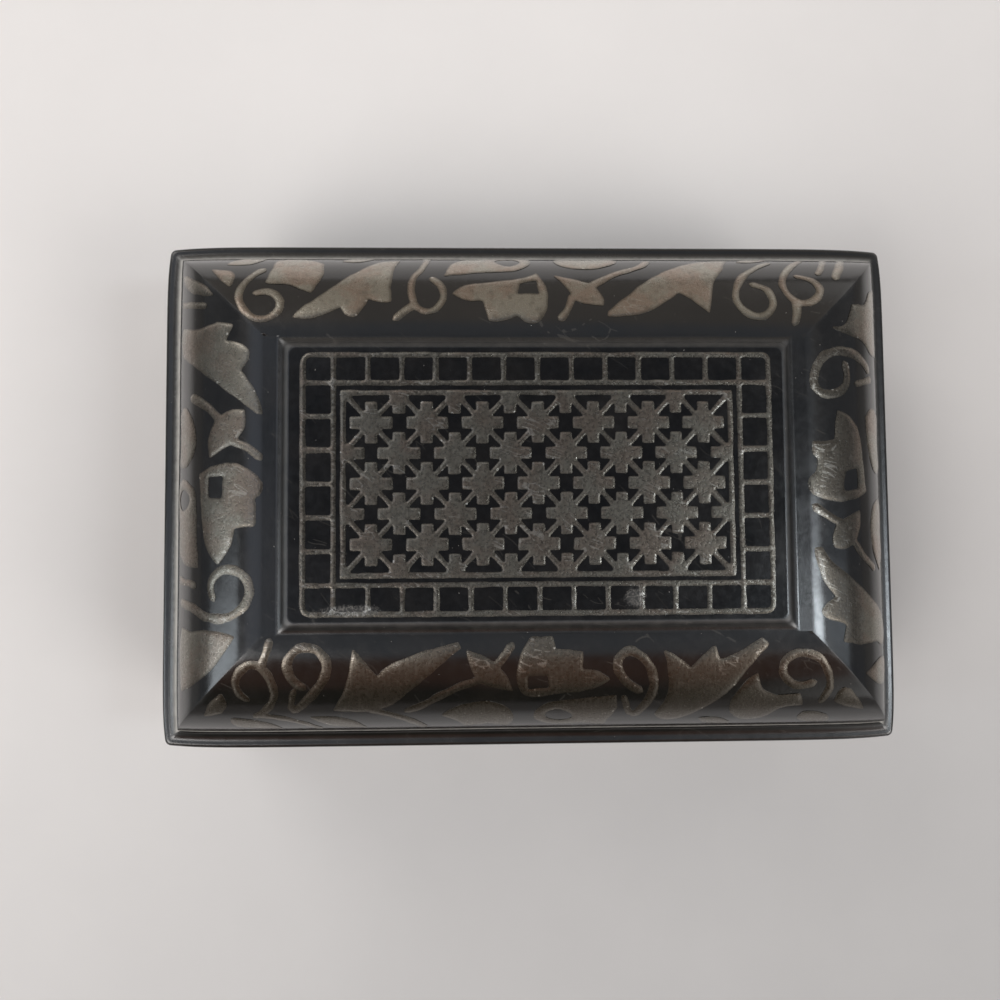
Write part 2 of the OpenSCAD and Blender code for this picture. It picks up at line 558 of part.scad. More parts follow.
// A solid whose section is one profile along X and another along Y, so its corners are mitred
module mitred(length) {
  intersection() {
    rotate([90, 0, 0]) linear_extrude(length, center = true) children(0);
    rotate([90, 0, 90]) linear_extrude(length, center = true) children(1);
  }
}
module channel() {
  translate([0, 0, foot_z - channel_t])
    linear_extrude(channel_t + step_h)
      ring_2d(2*foot_x, 2*foot_y, channel_w);
}
module lid_casting() {
  color(black)
    difference() {
      intersection() {
        mitred(4*rim_x) {
          lid_profile(rim_x, top_x, foot_x);
          lid_profile(rim_y, top_y, foot_y);
        }
        linear_extrude(panel_z + over) rounded_2d(2*rim_x, 2*rim_y, rim_corner_r);
      }
      mitred(4*rim_x) {
        hollow_profile(mouth_x, top_x);
        hollow_profile(mouth_y, top_y);
      }
      channel();
      translate([0, 0, panel_z - sunk_t - bed_t]) linear_extrude(silver_t + over) panel_2d();
      for (side = [FRONT, BACK, LEFT, RIGHT])
        slope_recess(side) {
          leaves_2d(side, false);
          wires_2d(side, false);
        }
    }
}
module panel_outer_wire() { color(silver) in_panel() outer_ring_2d(); }
module panel_inner_wire() { color(silver) in_panel() ring_2d(inner_w, inner_d, wire_w); }
module panel_rungs() { color(silver) in_panel() rungs_2d(); }
module lattice_frame() { color(silver) in_panel() ring_2d(lattice_w, lattice_d, wire_w); }
module lattice_stars() { color(silver) in_panel() stars_2d(); }
module lattice_cross_wires() {
  color(silver)
    in_panel()
      difference() {
        crosses_2d();
        stars_2d();
      }
}
module slope_leaves(side) { color(silver) in_slope(side) leaves_2d(side, false); }
module slope_tendrils(side) { color(silver) in_slope(side) tendrils_2d(side, false); }

// Body
module body_walls() {
  color(black)
    difference() {
      translate([0, 0, base_t]) linear_extrude(body_h) rounded_2d(body_w, body_d, wall_corner_r);
      translate([-lip_x, -lip_y, base_t - over]) cube([2*lip_x, 2*lip_y, body_h + 2*over]);
      for (side = [FRONT, BACK, LEFT, RIGHT])
        wall_recess(side) {
          leaves_2d(side, true);
          wires_2d(side, true);
        }
    }
}
module plinth_profile(half) {
  round = base_t/2;
  translate([round - half, 0]) square([2*(half - round), base_t]);
  for (s = [-1, 1]) translate([s*(half - round), round]) circle(r = round, $fn = 48);
}
module base_plate() {
  plinth_x = body_w/2 + plinth_out;
  plinth_y = body_d/2 + plinth_out;
  color(black)
    intersection() {
      mitred(4*rim_x) {
        plinth_profile(plinth_x);
        plinth_profile(plinth_y);
      }
      translate([0, 0, -over])
        linear_extrude(base_t + 2*over)
          rounded_2d(2*plinth_x, 2*plinth_y, wall_corner_r + plinth_out);
    }
}
module locating_lip() {
  color(black)
    translate([0, 0, rim_z - lip_drop])
      linear_extrude(lip_drop + lip_rise)
        difference() {
          square([2*lip_x, 2*lip_y], center = true);
          square([2*(lip_x - lip_t), 2*(lip_y - lip_t)], center = true);
        }
}
module wall_leaves(side) { color(silver) in_wall(side) leaves_2d(side, true); }
module wall_tendrils(side) { color(silver) in_wall(side) tendrils_2d(side, true); }

lid_casting();
panel_outer_wire();
panel_inner_wire();
panel_rungs();
lattice_frame();
lattice_stars();
lattice_cross_wires();
slope_leaves(FRONT);  // slope_leaves_front
slope_leaves(BACK);  // slope_leaves_back
slope_leaves(LEFT);  // slope_leaves_left
slope_leaves(RIGHT);  // slope_leaves_right
slope_tendrils(FRONT);  // slope_tendrils_front
slope_tendrils(BACK);  // slope_tendrils_back
slope_tendrils(LEFT);  // slope_tendrils_left
slope_tendrils(RIGHT);  // slope_tendrils_right
body_walls();
base_plate();
locating_lip();
wall_leaves(FRONT);  // wall_leaves_front
wall_leaves(BACK);  // wall_leaves_back
wall_leaves(LEFT);  // wall_leaves_left
wall_leaves(RIGHT);  // wall_leaves_right
wall_tendrils(FRONT);  // wall_tendrils_front
wall_tendrils(BACK);  // wall_tendrils_back
wall_tendrils(LEFT);  // wall_tendrils_left
wall_tendrils(RIGHT);  // wall_tendrils_right
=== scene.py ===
# %% [markdown]
# # A black box with silver let into it
#
# The real box is cast in a zinc alloy, filed smooth, cut with a chisel, set with silver and then
# blackened, so that only the silver stays pale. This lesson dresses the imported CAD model: it reads
# the sizes and the silver outlines from the frame, builds finer meshes with softened edges in the
# same places, and gives each one a worn finish made of shader nodes.

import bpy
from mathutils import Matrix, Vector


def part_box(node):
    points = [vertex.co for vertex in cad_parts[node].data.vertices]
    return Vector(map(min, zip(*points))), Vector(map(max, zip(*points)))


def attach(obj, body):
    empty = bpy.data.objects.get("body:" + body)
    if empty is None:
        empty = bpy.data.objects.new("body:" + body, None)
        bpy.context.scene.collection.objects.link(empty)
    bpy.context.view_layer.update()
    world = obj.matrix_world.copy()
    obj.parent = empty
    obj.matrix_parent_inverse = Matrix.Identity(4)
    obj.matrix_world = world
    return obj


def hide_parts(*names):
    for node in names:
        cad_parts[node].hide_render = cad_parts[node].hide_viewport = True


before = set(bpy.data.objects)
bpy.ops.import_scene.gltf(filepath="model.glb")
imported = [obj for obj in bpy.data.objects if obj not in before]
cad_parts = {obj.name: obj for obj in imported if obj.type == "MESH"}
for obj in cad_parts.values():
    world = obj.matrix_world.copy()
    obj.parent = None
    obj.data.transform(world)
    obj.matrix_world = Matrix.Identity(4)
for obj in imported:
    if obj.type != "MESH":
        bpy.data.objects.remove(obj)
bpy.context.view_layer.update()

# %% [markdown]
# ## Sizes
#
# Meshes are worked out in millimetres and turned into metres when they are made. Overall sizes come
# from the frame. The small radii are those of the part's source, but the rim's corners and the
# panel's roll are a little tighter.

# %% Sizes in millimetres
import math
import bmesh
import bpy
import numpy as np
from mathutils import Vector, kdtree, noise
from mathutils.geometry import delaunay_2d_cdt

MM = 0.001
lid_low, lid_high = (np.array(c)/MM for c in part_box("lid_casting"))
wall_low, wall_high = (np.array(c)/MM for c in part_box("body_walls"))
plate_low, plate_high = (np.array(c)/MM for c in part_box("base_plate"))
lip_low, lip_high = (np.array(c)/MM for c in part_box("locating_lip"))

RIM_T = 2.2
RIM_R = 0.4
RIM_CORNER_R = 0.5
COVE_R = 1.4
STEP_H = 0.7
STEP_R = 0.8
END_SHELF = 1.3
CHANNEL_W = 0.5
LID_T = 2.2
LID_CLEAR = 0.3
WALL_CORNER_R = 0.8
LIP_T = 1.0
SILVER_PROUD = 0.1

rim_z = lid_low[2]
slope_z = rim_z + RIM_T
panel_z = lid_high[2]
foot_z = panel_z - STEP_H
slope_r = foot_z - slope_z
top = wall_high[:2] - slope_r
foot = top - np.array([END_SHELF, 0])
rim_out = lid_high[0] - top[0]
mouth_out = lip_high[0] + LID_CLEAR - top[0]
print("slope radius", round(slope_r, 2), "mm, panel", (2*foot).round(1), "mm")

# %% [markdown]
# ## Camera
#
# The photograph was taken from just above the lid, slightly in front and to the left. The camera's
# place and turn were fitted to the corners of the rim and of the panel.

# %% Camera
CAMERA_AT = (-9.12, -10.85, panel_z + 123.61)
CAMERA_TURN = (4.22, -2.33, -0.47)
CAMERA_LENS = 43.2
CAMERA_SENSOR = 36
CAMERA_NEAR = 0.005

camera = bpy.data.objects.new("camera", bpy.data.cameras.new("camera"))
camera.location = Vector(CAMERA_AT)*MM
camera.rotation_euler = [math.radians(a) for a in CAMERA_TURN]
camera.data.sensor_width = CAMERA_SENSOR
camera.data.lens = CAMERA_LENS
camera.data.clip_start = CAMERA_NEAR
bpy.context.scene.collection.objects.link(camera)
bpy.context.scene.camera = camera
bpy.context.scene.view_settings.view_transform = "Standard"
print("camera", [round(v, 4) for v in camera.location])

# %% [markdown]
# ## Making a mesh
#
# Blender's bevel could soften the CAD meshes, but it rounds every small edge alike. So the meshes are
# made from points and faces. One helper takes them in millimetres, makes the object, shades it
# smoothly up to a limit angle and leaves it at the origin, as the CAD nodes are. Each point also
# carries a number called "wear". On the black it is high on edges that hands rub, and on the silver
# it grows from the edge to the middle. The finishes read it later.

# %% Mesh helper
SMOOTH_UP_TO = math.radians(50)
SAME_POINT = 1e-7


def make_piece(name, points, faces, material, wear):
    mesh = bpy.data.meshes.new(name)
    mesh.from_pydata((np.asarray(points)*MM).tolist(), [], faces)
    wear_layer = mesh.attributes.new("wear", "FLOAT", "POINT")
    wear_layer.data.foreach_set("value", np.asarray(wear, np.float32))
    made = bmesh.new()
    made.from_mesh(mesh)
    bmesh.ops.remove_doubles(made, verts=made.verts, dist=SAME_POINT)
    bmesh.ops.recalc_face_normals(made, faces=made.faces)
    open_edges = sum(len(e.link_faces) != 2 for e in made.edges)
    made.to_mesh(mesh)
    made.free()
    mesh.shade_smooth()
    mesh.set_sharp_from_angle(angle=SMOOTH_UP_TO)
    mesh.materials.append(material)
    piece = bpy.data.objects.new(name, mesh)
    bpy.context.scene.collection.objects.link(piece)
    print(name, len(mesh.vertices), "points, open edges:", open_edges)
    return piece


# %% [markdown]
# ## Filling a flat outline
#
# A constrained Delaunay triangulation fills any outline, holes included, and keeps every extra point
# that is given inside it. That lets one helper fill the plain panel and the silver leaves alike.
# Triangles outside the outline are thrown away by counting how often a line from their middle
# crosses the edges.

# %% Flat fill
AT_ONCE = 400
FILL_TOLERANCE = 1e-5


def outline_sides(loops):
    """Where the sides of some closed outlines start and end."""
    starts = np.concatenate([np.array(loop) for loop in loops])
    ends = np.concatenate([np.roll(np.array(loop), -1, 0) for loop in loops])
    return starts, ends


def inside(points, starts, ends):
    found = np.zeros(len(points), bool)
    for k in range(0, len(points), AT_ONCE):
        p = points[k:k + AT_ONCE, None]
        crosses = (starts[:, 1] > p[..., 1]) != (ends[:, 1] > p[..., 1])
        rise = np.where(ends[:, 1] == starts[:, 1], 1, ends[:, 1] - starts[:, 1])
        at = starts[:, 0] + (p[..., 1] - starts[:, 1])*(ends[:, 0] - starts[:, 0])/rise
        found[k:k + AT_ONCE] = (crosses & (at > p[..., 0])).sum(1) % 2 == 1
    return found


def fill(loops, extra):
    points = [Vector(p) for loop in loops for p in loop] + [Vector(p) for p in extra]
    edges = []
    first = 0
    for loop in loops:
        edges += [(first + k, first + (k + 1) % len(loop)) for k in range(len(loop))]
        first += len(loop)
    flat, _, faces, *_ = delaunay_2d_cdt(points, edges, [], 0, FILL_TOLERANCE)
    flat = np.array([v[:] for v in flat])
    faces = np.array([f for f in faces if len(f) == 3])
    return flat, faces[inside(flat[faces].mean(1), *outline_sides(loops))]


def grid_inside(loops, pitch):
    """Points of a staggered grid that lie inside the outline."""
    starts, ends = outline_sides(loops)
    low, high = starts.min(0), starts.max(0)
    rows = np.arange(low[1] + pitch/2, high[1], pitch*math.sqrt(3)/2)
    spots = [
        (x + (k % 2)*pitch/2, y)
        for k, y in enumerate(rows) for x in np.arange(low[0], high[0], pitch)
    ]
    spots = np.array(spots)
    return spots[inside(spots, starts, ends)]


# %% [markdown]
# ## Hand-worked unevenness
#
# A file and a scraper leave a surface that is never quite true. A bump would make reflections waver
# too, but not the outline, so a slow three-dimensional noise, a few hundredths of a millimetre deep,
# moves the points of the black and the silver alike. The file also takes a little off the ends of the
# lid's sides, so its corners fall in slightly.

# %% Unevenness
SLOW_WAVE = 9.0
SLOW_DEPTH = 0.035
QUICK_WAVE = 2.6
QUICK_DEPTH = 0.010
QUICK_SHIFT = Vector((7, 3, 5))
CORNER_FILED = 0.45
CORNER_POWER = 12


def unevenness(p):
    slow = noise.noise(Vector(p)/SLOW_WAVE)
    quick = noise.noise(Vector(p)/QUICK_WAVE + QUICK_SHIFT)
    return SLOW_DEPTH*slow + QUICK_DEPTH*quick


def filed(points):
    """Points of the lid with the ends of its sides taken in."""
    share = points[:, :2]/lid_high[:2]
    moved = points.copy()
    moved[:, :2] -= CORNER_FILED*share*share[:, ::-1]**CORNER_POWER
    return moved


print("lid corners filed by", CORNER_FILED, "mm")

# %% [markdown]
# ## Rings and lofts
#
# The box is rectangular all the way up, so each piece of black metal is a stack of rounded
# rectangles. A ring always has the same count of points, and neighbouring rings are joined by quads.
# A plain extrusion has one corner radius all the way up. Here each ring has its own, so the hips can
# be crisp and the rim soft.

# %% Rings and lofts
CORNER_POINTS = 7
LONG_POINTS = 110
SHORT_POINTS = 74
CAP_SHRINK = 0.985


def ring(half, radius, z):
    points = []
    ways = [(1, 1), (-1, 1), (-1, -1), (1, -1)]
    for k, way in enumerate(ways):
        centre = (np.array(half) - radius)*way
        for a in np.radians(np.linspace(90*k, 90*k + 90, CORNER_POINTS)):
            points.append([*(centre + radius*np.array([math.cos(a), math.sin(a)])), z])
        following = (np.array(half) - radius)*ways[(k + 1) % 4]
        out = radius*np.array([(0, 1), (-1, 0), (0, -1), (1, 0)][k])
        count = LONG_POINTS if k % 2 == 0 else SHORT_POINTS
        for t in np.linspace(0, 1, count + 2)[1:-1]:
            points.append([*(centre + (following - centre)*t + out), z])
    return np.array(points)


def corner_indices():
    """Places of the corner points in a ring."""
    found, at = [], 0
    for k in range(4):
        found += range(at, at + CORNER_POINTS)
        at += CORNER_POINTS + (LONG_POINTS if k % 2 == 0 else SHORT_POINTS)
    return found


def loft(rings, closed=False):
    size = len(rings[0])
    faces = []
    for r in range(len(rings) if closed else len(rings) - 1):
        low, high = r*size, ((r + 1) % len(rings))*size
        for k in range(size):
            n = (k + 1) % size
            faces.append((low + k, low + n, high + n, high + k))
    return np.concatenate(rings), faces


def arc(centre, radius, start, end, count):
    """Points (out, z) round a centre, with the angles in degrees."""
    return [
        (centre[0] + radius*math.cos(a), centre[1] + radius*math.sin(a))
        for a in np.radians(np.linspace(start, end, count))
    ]


def cap(points, faces, loop, z, pitch):
    """Closes a loft with a flat field of triangles inside one of its rings."""
    flat, triangles = fill([loop], grid_inside([loop*CAP_SHRINK], pitch))
    level = np.column_stack([flat, np.full(len(flat), z)])
    faces += [tuple(int(v) + len(points) for v in t) for t in triangles]
    return np.concatenate([points, level]), faces


# %% [markdown]
# ## Shader helpers
#
# Finishes are built from nodes, so that they work at any size and need no pictures. One helper adds a
# node and fills or links its inputs. Others lay tints over a colour, add to a value, and start a node
# group with named sockets, so that an effect is built once and used by several finishes.

# %% Node helpers


def add(tree, kind, inputs=(), **settings):
    made = tree.nodes.new(kind)
    for name, value in settings.items():
        setattr(made, name, value)
    for name, value in dict(inputs).items():
        if isinstance(value, bpy.types.NodeSocket):
            tree.links.new(value, made.inputs[name])
        else:
            made.inputs[name].default_value = value
    return made


def math_node(tree, operation, *values):
    return add(tree, "ShaderNodeMath", dict(enumerate(values)), operation=operation).outputs[0]


def mix_colour(tree, share, first, second):
    made = add(tree, "ShaderNodeMix", {0: share, 6: first, 7: second}, data_type="RGBA")
    return made.outputs[2]


def remap(tree, value, low, high, to_low=0.0, to_high=1.0):
    made = add(tree, "ShaderNodeMapRange", {0: value, 1: low, 2: high, 3: to_low, 4: to_high})
    made.interpolation_type = "SMOOTHSTEP"
    return made.outputs[0]


def parts_of(tree, vector):
    """The x, y and z of a vector."""
    return add(tree, "ShaderNodeSeparateXYZ", {0: vector}).outputs


def vector_math(tree, operation, first, second):
    return add(tree, "ShaderNodeVectorMath", {0: first, 1: second}, operation=operation).outputs[0]


def noise_node(tree, at, scale, detail, rough=0.5):
    inputs = {"Vector": at, "Scale": scale, "Detail": detail, "Roughness": rough}
    return add(tree, "ShaderNodeTexNoise", inputs).outputs


def layered(tree, colour, layers):
    """Lays tints over a colour, each by a mask and a strength."""
    for mask, strength, tint in layers:
        colour = mix_colour(tree, math_node(tree, "MULTIPLY", mask, strength), colour, tint)
    return colour


def raised(tree, value, additions):
    """Adds masks to a value, each times an amount."""
    for mask, amount in additions:
        value = math_node(tree, "ADD", value, math_node(tree, "MULTIPLY", mask, amount))
    return value


def bump(tree, height, strength, depth, under=None):
    """A bump with a depth in millimetres, laid over another one if that is given."""
    made = add(tree, "ShaderNodeBump", {"Height": height, "Strength": strength, "Distance": depth*MM})
    if under is not None:
        tree.links.new(under, made.inputs["Normal"])
    return made.outputs[0]


# %% Finish and group helpers


def start_finish(name):
    material = bpy.data.materials.new(name)
    material.use_nodes = True
    return material, material.node_tree, material.node_tree.nodes["Principled BSDF"]


def start_group(name, numbers, outputs):
    tree = bpy.data.node_groups.new(name, "ShaderNodeTree")
    for label, value in numbers.items():
        socket = tree.interface.new_socket(label, in_out="INPUT", socket_type="NodeSocketFloat")
        socket.default_value = value
    for label in outputs:
        tree.interface.new_socket(label, in_out="OUTPUT", socket_type="NodeSocketFloat")
    given = tree.nodes.new("NodeGroupInput").outputs
    place = add(tree, "ShaderNodeTexCoord").outputs["Object"]
    in_mm = add(tree, "ShaderNodeVectorMath", {0: place, "Scale": 1/MM}, operation="SCALE").outputs[0]
    print("effect", name)
    return tree, given, in_mm, tree.nodes.new("NodeGroupOutput").inputs


def use(tree, group, **numbers):
    made = tree.nodes.new("ShaderNodeGroup")
    made.node_tree = group
    for label, value in numbers.items():
        made.inputs[label].default_value = value
    return made.outputs


# %% [markdown]
# ## Effects for the two metals
#
# Old metal is never one colour. "Mottle" is a cloudy mask with a size in millimetres. "Specks" are
# grains of dust and tiny dents, scattered and sparse; on the silver the same mask paints glints, a
# painted highlight. "Scratches" are fine lines from handling.
# "Strokes" are the short close lines of a file or a scraper, all running one way. "Scuff" is a
# rubbed spot: the photograph shows two on the ladder at the front of the panel. The pale line in the
# hollow at the rim and at the foot of the slopes is a painted reflection of the table there. Each
# could be painted by hand, but a mask made by a formula is as sharp as the view needs.

# %% Mottle


def build_mottle():
    tree, given, at, out = start_group("mottle", {"Size": 3, "Low": 0.4, "High": 0.6}, ["Mask"])
    rate = math_node(tree, "DIVIDE", 1.0, given["Size"])
    cloud = noise_node(tree, at, rate, 5.0, 0.6)
    made = add(tree, "ShaderNodeMapRange", {0: cloud[0], 1: given["Low"], 2: given["High"]})
    tree.links.new(made.outputs[0], out["Mask"])
    return tree


mottle = build_mottle()

# %% Specks


def build_specks():
    numbers = {"Spacing": 0.9, "Radius": 0.09, "Share": 0.3}
    tree, given, at, out = start_group("specks", numbers, ["Mask"])
    rate = math_node(tree, "DIVIDE", 1.0, given["Spacing"])
    cell = add(tree, "ShaderNodeTexVoronoi", {"Vector": at, "Scale": rate, "Randomness": 1.0})
    far = math_node(tree, "MULTIPLY", cell.outputs["Distance"], given["Spacing"])
    chance = add(tree, "ShaderNodeSeparateColor", {0: cell.outputs["Color"]})
    size = math_node(tree, "MULTIPLY", given["Radius"], chance.outputs[1])
    near = math_node(tree, "LESS_THAN", far, size)
    kept = math_node(tree, "LESS_THAN", chance.outputs[0], given["Share"])
    tree.links.new(math_node(tree, "MULTIPLY", near, kept), out["Mask"])
    return tree


specks = build_specks()

# %% Scratches
SCRATCH_BEND = (5.0, 5.0, 5.0)
SCRATCH_PULL = (0.05, 1.0, 1.0)
SCRATCH_KEPT = 0.58


def build_scratches():
    numbers = {"Spacing": 2.5, "Width": 0.03, "Turn": 0.6}
    tree, given, at, out = start_group("scratches", numbers, ["Mask"])
    turn = {"Vector": at, "Angle": given["Turn"]}
    turned = add(tree, "ShaderNodeVectorRotate", turn, rotation_type="Z_AXIS").outputs[0]
    bent = noise_node(tree, at, 0.12, 1.0)
    shift = vector_math(tree, "MULTIPLY", bent["Color"], SCRATCH_BEND)
    moved = vector_math(tree, "ADD", turned, shift)
    long = vector_math(tree, "MULTIPLY", moved, SCRATCH_PULL)
    rate = math_node(tree, "DIVIDE", 1.0, given["Spacing"])
    edges = {"Vector": long, "Scale": rate}
    cell = add(tree, "ShaderNodeTexVoronoi", edges, feature="DISTANCE_TO_EDGE")
    far = math_node(tree, "MULTIPLY", cell.outputs["Distance"], given["Spacing"])
    line = math_node(tree, "LESS_THAN", far, given["Width"])
    broken = noise_node(tree, at, 0.45, 2.0)
    kept = math_node(tree, "GREATER_THAN", broken[0], SCRATCH_KEPT)
    tree.links.new(math_node(tree, "MULTIPLY", line, kept), out["Mask"])
    return tree


scratches = build_scratches()

# %% Strokes
STROKE_FADE = 0.16


def build_strokes():
    numbers = {"Width": 0.12, "Length": 1.2, "Share": 0.55}
    tree, given, at, out = start_group("strokes", numbers, ["Mask"])
    across = math_node(tree, "DIVIDE", 1.0, given["Width"])
    along = math_node(tree, "DIVIDE", 1.0, given["Length"])
    rate = add(tree, "ShaderNodeCombineXYZ", {0: across, 1: along, 2: along})
    pulled = vector_math(tree, "MULTIPLY", at, rate.outputs[0])
    streak = noise_node(tree, pulled, 0.5, 2.0)
    high = math_node(tree, "ADD", given["Share"], STROKE_FADE)
    made = add(tree, "ShaderNodeMapRange", {0: streak[0], 1: given["Share"], 2: high})
    tree.links.new(made.outputs[0], out["Mask"])
    return tree


strokes = build_strokes()

# %% Scuff
SCUFFS = ((9.9, -11.9, 1.0, 1.0), (-19.3, -13.0, 0.38, 2.0))
SCUFF_TORN = 2.2
SCUFF_INNER, SCUFF_OUTER = 0.2, 1.1
VEIN_EDGE = (0.055, 0.02)


def build_scuff():
    """Ragged rubbed spots on the panel, each with a centre, a stretch along x and a squeeze along y."""
    tree, given, at, out = start_group("scuff", {"Radius": 1.4}, ["Haze", "Lace"])
    level = parts_of(tree, at)[2]
    torn = noise_node(tree, at, 2.2, 6.0, 0.75)
    ragged_by = math_node(tree, "MULTIPLY", torn[0], SCUFF_TORN)
    inner = math_node(tree, "ADD", given["Radius"], SCUFF_INNER)
    outer = math_node(tree, "ADD", given["Radius"], SCUFF_OUTER)
    mask = None
    for x, y, long, tall in SCUFFS:
        off = vector_math(tree, "SUBTRACT", at, (x, y, 0))
        flat = vector_math(tree, "MULTIPLY", off, (long, tall, 0))
        far = add(tree, "ShaderNodeVectorMath", {0: flat}, operation="LENGTH").outputs["Value"]
        near = remap(tree, math_node(tree, "ADD", far, ragged_by), inner, outer, 1, 0)
        mask = near if mask is None else math_node(tree, "MAXIMUM", mask, near)
    mask = math_node(tree, "MULTIPLY", mask, math_node(tree, "GREATER_THAN", level, panel_z - STEP_H))
    veins = noise_node(tree, at, 2.6, 3.0)
    off_vein = math_node(tree, "ABSOLUTE", math_node(tree, "SUBTRACT", veins[0], 0.5))
    tree.links.new(mask, out["Haze"])
    tree.links.new(math_node(tree, "MULTIPLY", mask, remap(tree, off_vein, *VEIN_EDGE)), out["Lace"])
    return tree


scuff = build_scuff()

# %% Painted foot reflection
FOOT_REFLECTION_LOW = 0.0
FOOT_REFLECTION_FULL = 0.5
FOOT_REFLECTION_HIGH = 3.0
FOOT_REFLECTION_LIFT = 0.7
PAST_HOLLOW = 0.5
HIP_BLEND = 0.4


# A pale band painted in the hollow at the rim and up the foot of the slopes: a painted reflection of the
# table there.
def build_painted_foot_reflection():
    tree, given, at, out = start_group("painted_foot_reflection", {"Strength": 1.0}, ["Mask"])
    place = parts_of(tree, at)
    sides = [
        math_node(tree, "SUBTRACT", math_node(tree, "ABSOLUTE", place[k]), float(top[k]))
        for k in (0, 1)
    ]
    past_hollow = slope_r - LID_T + PAST_HOLLOW
    outside = math_node(tree, "GREATER_THAN", math_node(tree, "MAXIMUM", *sides), past_hollow)
    to_front = math_node(tree, "SUBTRACT", float(-top[1]), place[1])
    on_front = remap(tree, math_node(tree, "SUBTRACT", to_front, sides[0]), -HIP_BLEND, HIP_BLEND)
    start = remap(tree, on_front, 0, 1, slope_z, slope_z + FOOT_REFLECTION_LIFT)
    level = math_node(tree, "SUBTRACT", place[2], start)
    rise = remap(tree, level, FOOT_REFLECTION_LOW, FOOT_REFLECTION_FULL)
    fade = remap(tree, level, FOOT_REFLECTION_HIGH, FOOT_REFLECTION_FULL)
    layer = math_node(tree, "MULTIPLY", rise, math_node(tree, "MULTIPLY", fade, fade))
    cloud = noise_node(tree, at, 0.9, 4.0, 0.65)
    patchy = remap(tree, cloud[0], 0.3, 0.6, 0.75, 1.0)
    layer = math_node(tree, "MULTIPLY", math_node(tree, "MULTIPLY", layer, patchy), outside)
    tree.links.new(math_node(tree, "MULTIPLY", layer, given["Strength"]), out["Mask"])
    return tree


painted_foot_reflection = build_painted_foot_reflection()

# %% [markdown]
# ## Black finish
#
# The black is a thin mineral skin on the alloy, rubbed with oil: almost no colour of its own, but a
# clear gloss that climbs steeply at a slant. It could be a dark metal, but that would mirror as much
# from above as at a slant. A raised index of refraction gives the climb. Cloudy browns, dust and
# rubbed edges keep it from looking like plastic.

# %% Black finish
BLACK = (0.0018, 0.0021, 0.0026, 1)
BROWN_BLACK = (0.0050, 0.0042, 0.0037, 1)
DUST = (0.16, 0.15, 0.135, 1)
RUBBED = (0.10, 0.092, 0.080, 1)
# Colour of the painted reflection of the table at the foot of the slopes.
FOOT_REFLECTION_PAINT = (0.60, 0.58, 0.54, 1)
BLACK_IOR = 1.75
RIM_DULL = 0.06
RIM_DULL_FROM = 0.6
RIM_DULL_FULL = 0.05


def black_finish(name, gloss, dust_share):
    material, tree, shader = start_finish(name)
    cloud = use(tree, mottle, Size=5.0, Low=0.35, High=0.72)["Mask"]
    fine = use(tree, mottle, Size=0.8, Low=0.3, High=0.75)["Mask"]
    dust = use(tree, specks, Spacing=0.7, Radius=0.065, Share=dust_share)["Mask"]
    lines = use(tree, scratches, Spacing=2.8, Width=0.02, Turn=0.7)["Mask"]
    patchy = use(tree, mottle, Size=1.3, Low=0.42, High=0.66)["Mask"]
    spot = use(tree, scuff)
    # left: the painted reflection of the table at the foot of the slopes.
    left = use(tree, painted_foot_reflection, Strength=0.85)["Mask"]
    wear = add(tree, "ShaderNodeAttribute", attribute_name="wear").outputs["Fac"]
    colour = layered(tree, mix_colour(tree, cloud, BLACK, BROWN_BLACK), [
        (lines, 0.22, RUBBED),
        (math_node(tree, "MULTIPLY", wear, patchy), 0.2, RUBBED),
        (dust, 0.7, DUST),
        (spot["Haze"], 0.12, DUST),
        (spot["Lace"], 0.7, DUST),
        (left, 1.0, FOOT_REFLECTION_PAINT),
    ])
    tree.links.new(colour, shader.inputs["Base Color"])
    level = parts_of(tree, add(tree, "ShaderNodeTexCoord").outputs["Object"])[2]
    on_rim = remap(tree, level, (slope_z + RIM_DULL_FROM)*MM, (slope_z + RIM_DULL_FULL)*MM)
    dull = raised(tree, remap(tree, fine, 0, 1, gloss, gloss + 0.05), [
        (cloud, 0.05),
        (wear, 0.40),
        (spot["Haze"], 0.12),
        (left, 0.25),
        (on_rim, RIM_DULL),
    ])
    tree.links.new(dull, shader.inputs["Roughness"])
    grain = bump(tree, fine, 0.12, 0.02)
    tree.links.new(bump(tree, dust, 0.3, 0.03, grain), shader.inputs["Normal"])
    shader.inputs["IOR"].default_value = BLACK_IOR
    return material


lid_black = black_finish("lid_black", 0.13, 0.20)
body_black = black_finish("body_black", 0.20, 0.10)
print("black finishes", lid_black.name, body_black.name)

# %% [markdown]
# ## Silver finish
#
# The silver is beaten sheet and wire, dulled by years of handling. It is a full metal, so its colour
# is in its reflections: grey where it is rubbed, brown where it has tarnished, and dark along its
# edges, where the black has crept over it. Under the room's light it looks darkest on the front and
# high on the right end, and palest on the back. One tint for all of it would miss that, so a painted
# shade follows the way a face is turned, darkest on faces turned to the front. The oil that was
# rubbed on the black lies on the silver too, as a thin glossy coat. A pale band is painted at the
# foot of the slopes, a painted reflection of the table. Beating leaves a fine crumpled grain and
# the scraper leaves short strokes, both made as bump. Fine bright threads show only on faces turned
# up, and bright specks are painted glints.

# %% Silver finish
GREY_SILVER = (0.47, 0.445, 0.38, 1)
BROWN_SILVER = (0.45, 0.36, 0.295, 1)
# Dark tarnish, also the colour of the painted shade that darkens faces by the way they are turned.
DARK_TARNISH_AND_SHADE = (0.105, 0.093, 0.076, 1)
BRIGHT_SILVER = (0.62, 0.595, 0.54, 1)
POLISHED_SILVER = (0.85, 0.82, 0.76, 1)
COAT = 0.4
COAT_DULL = 0.16
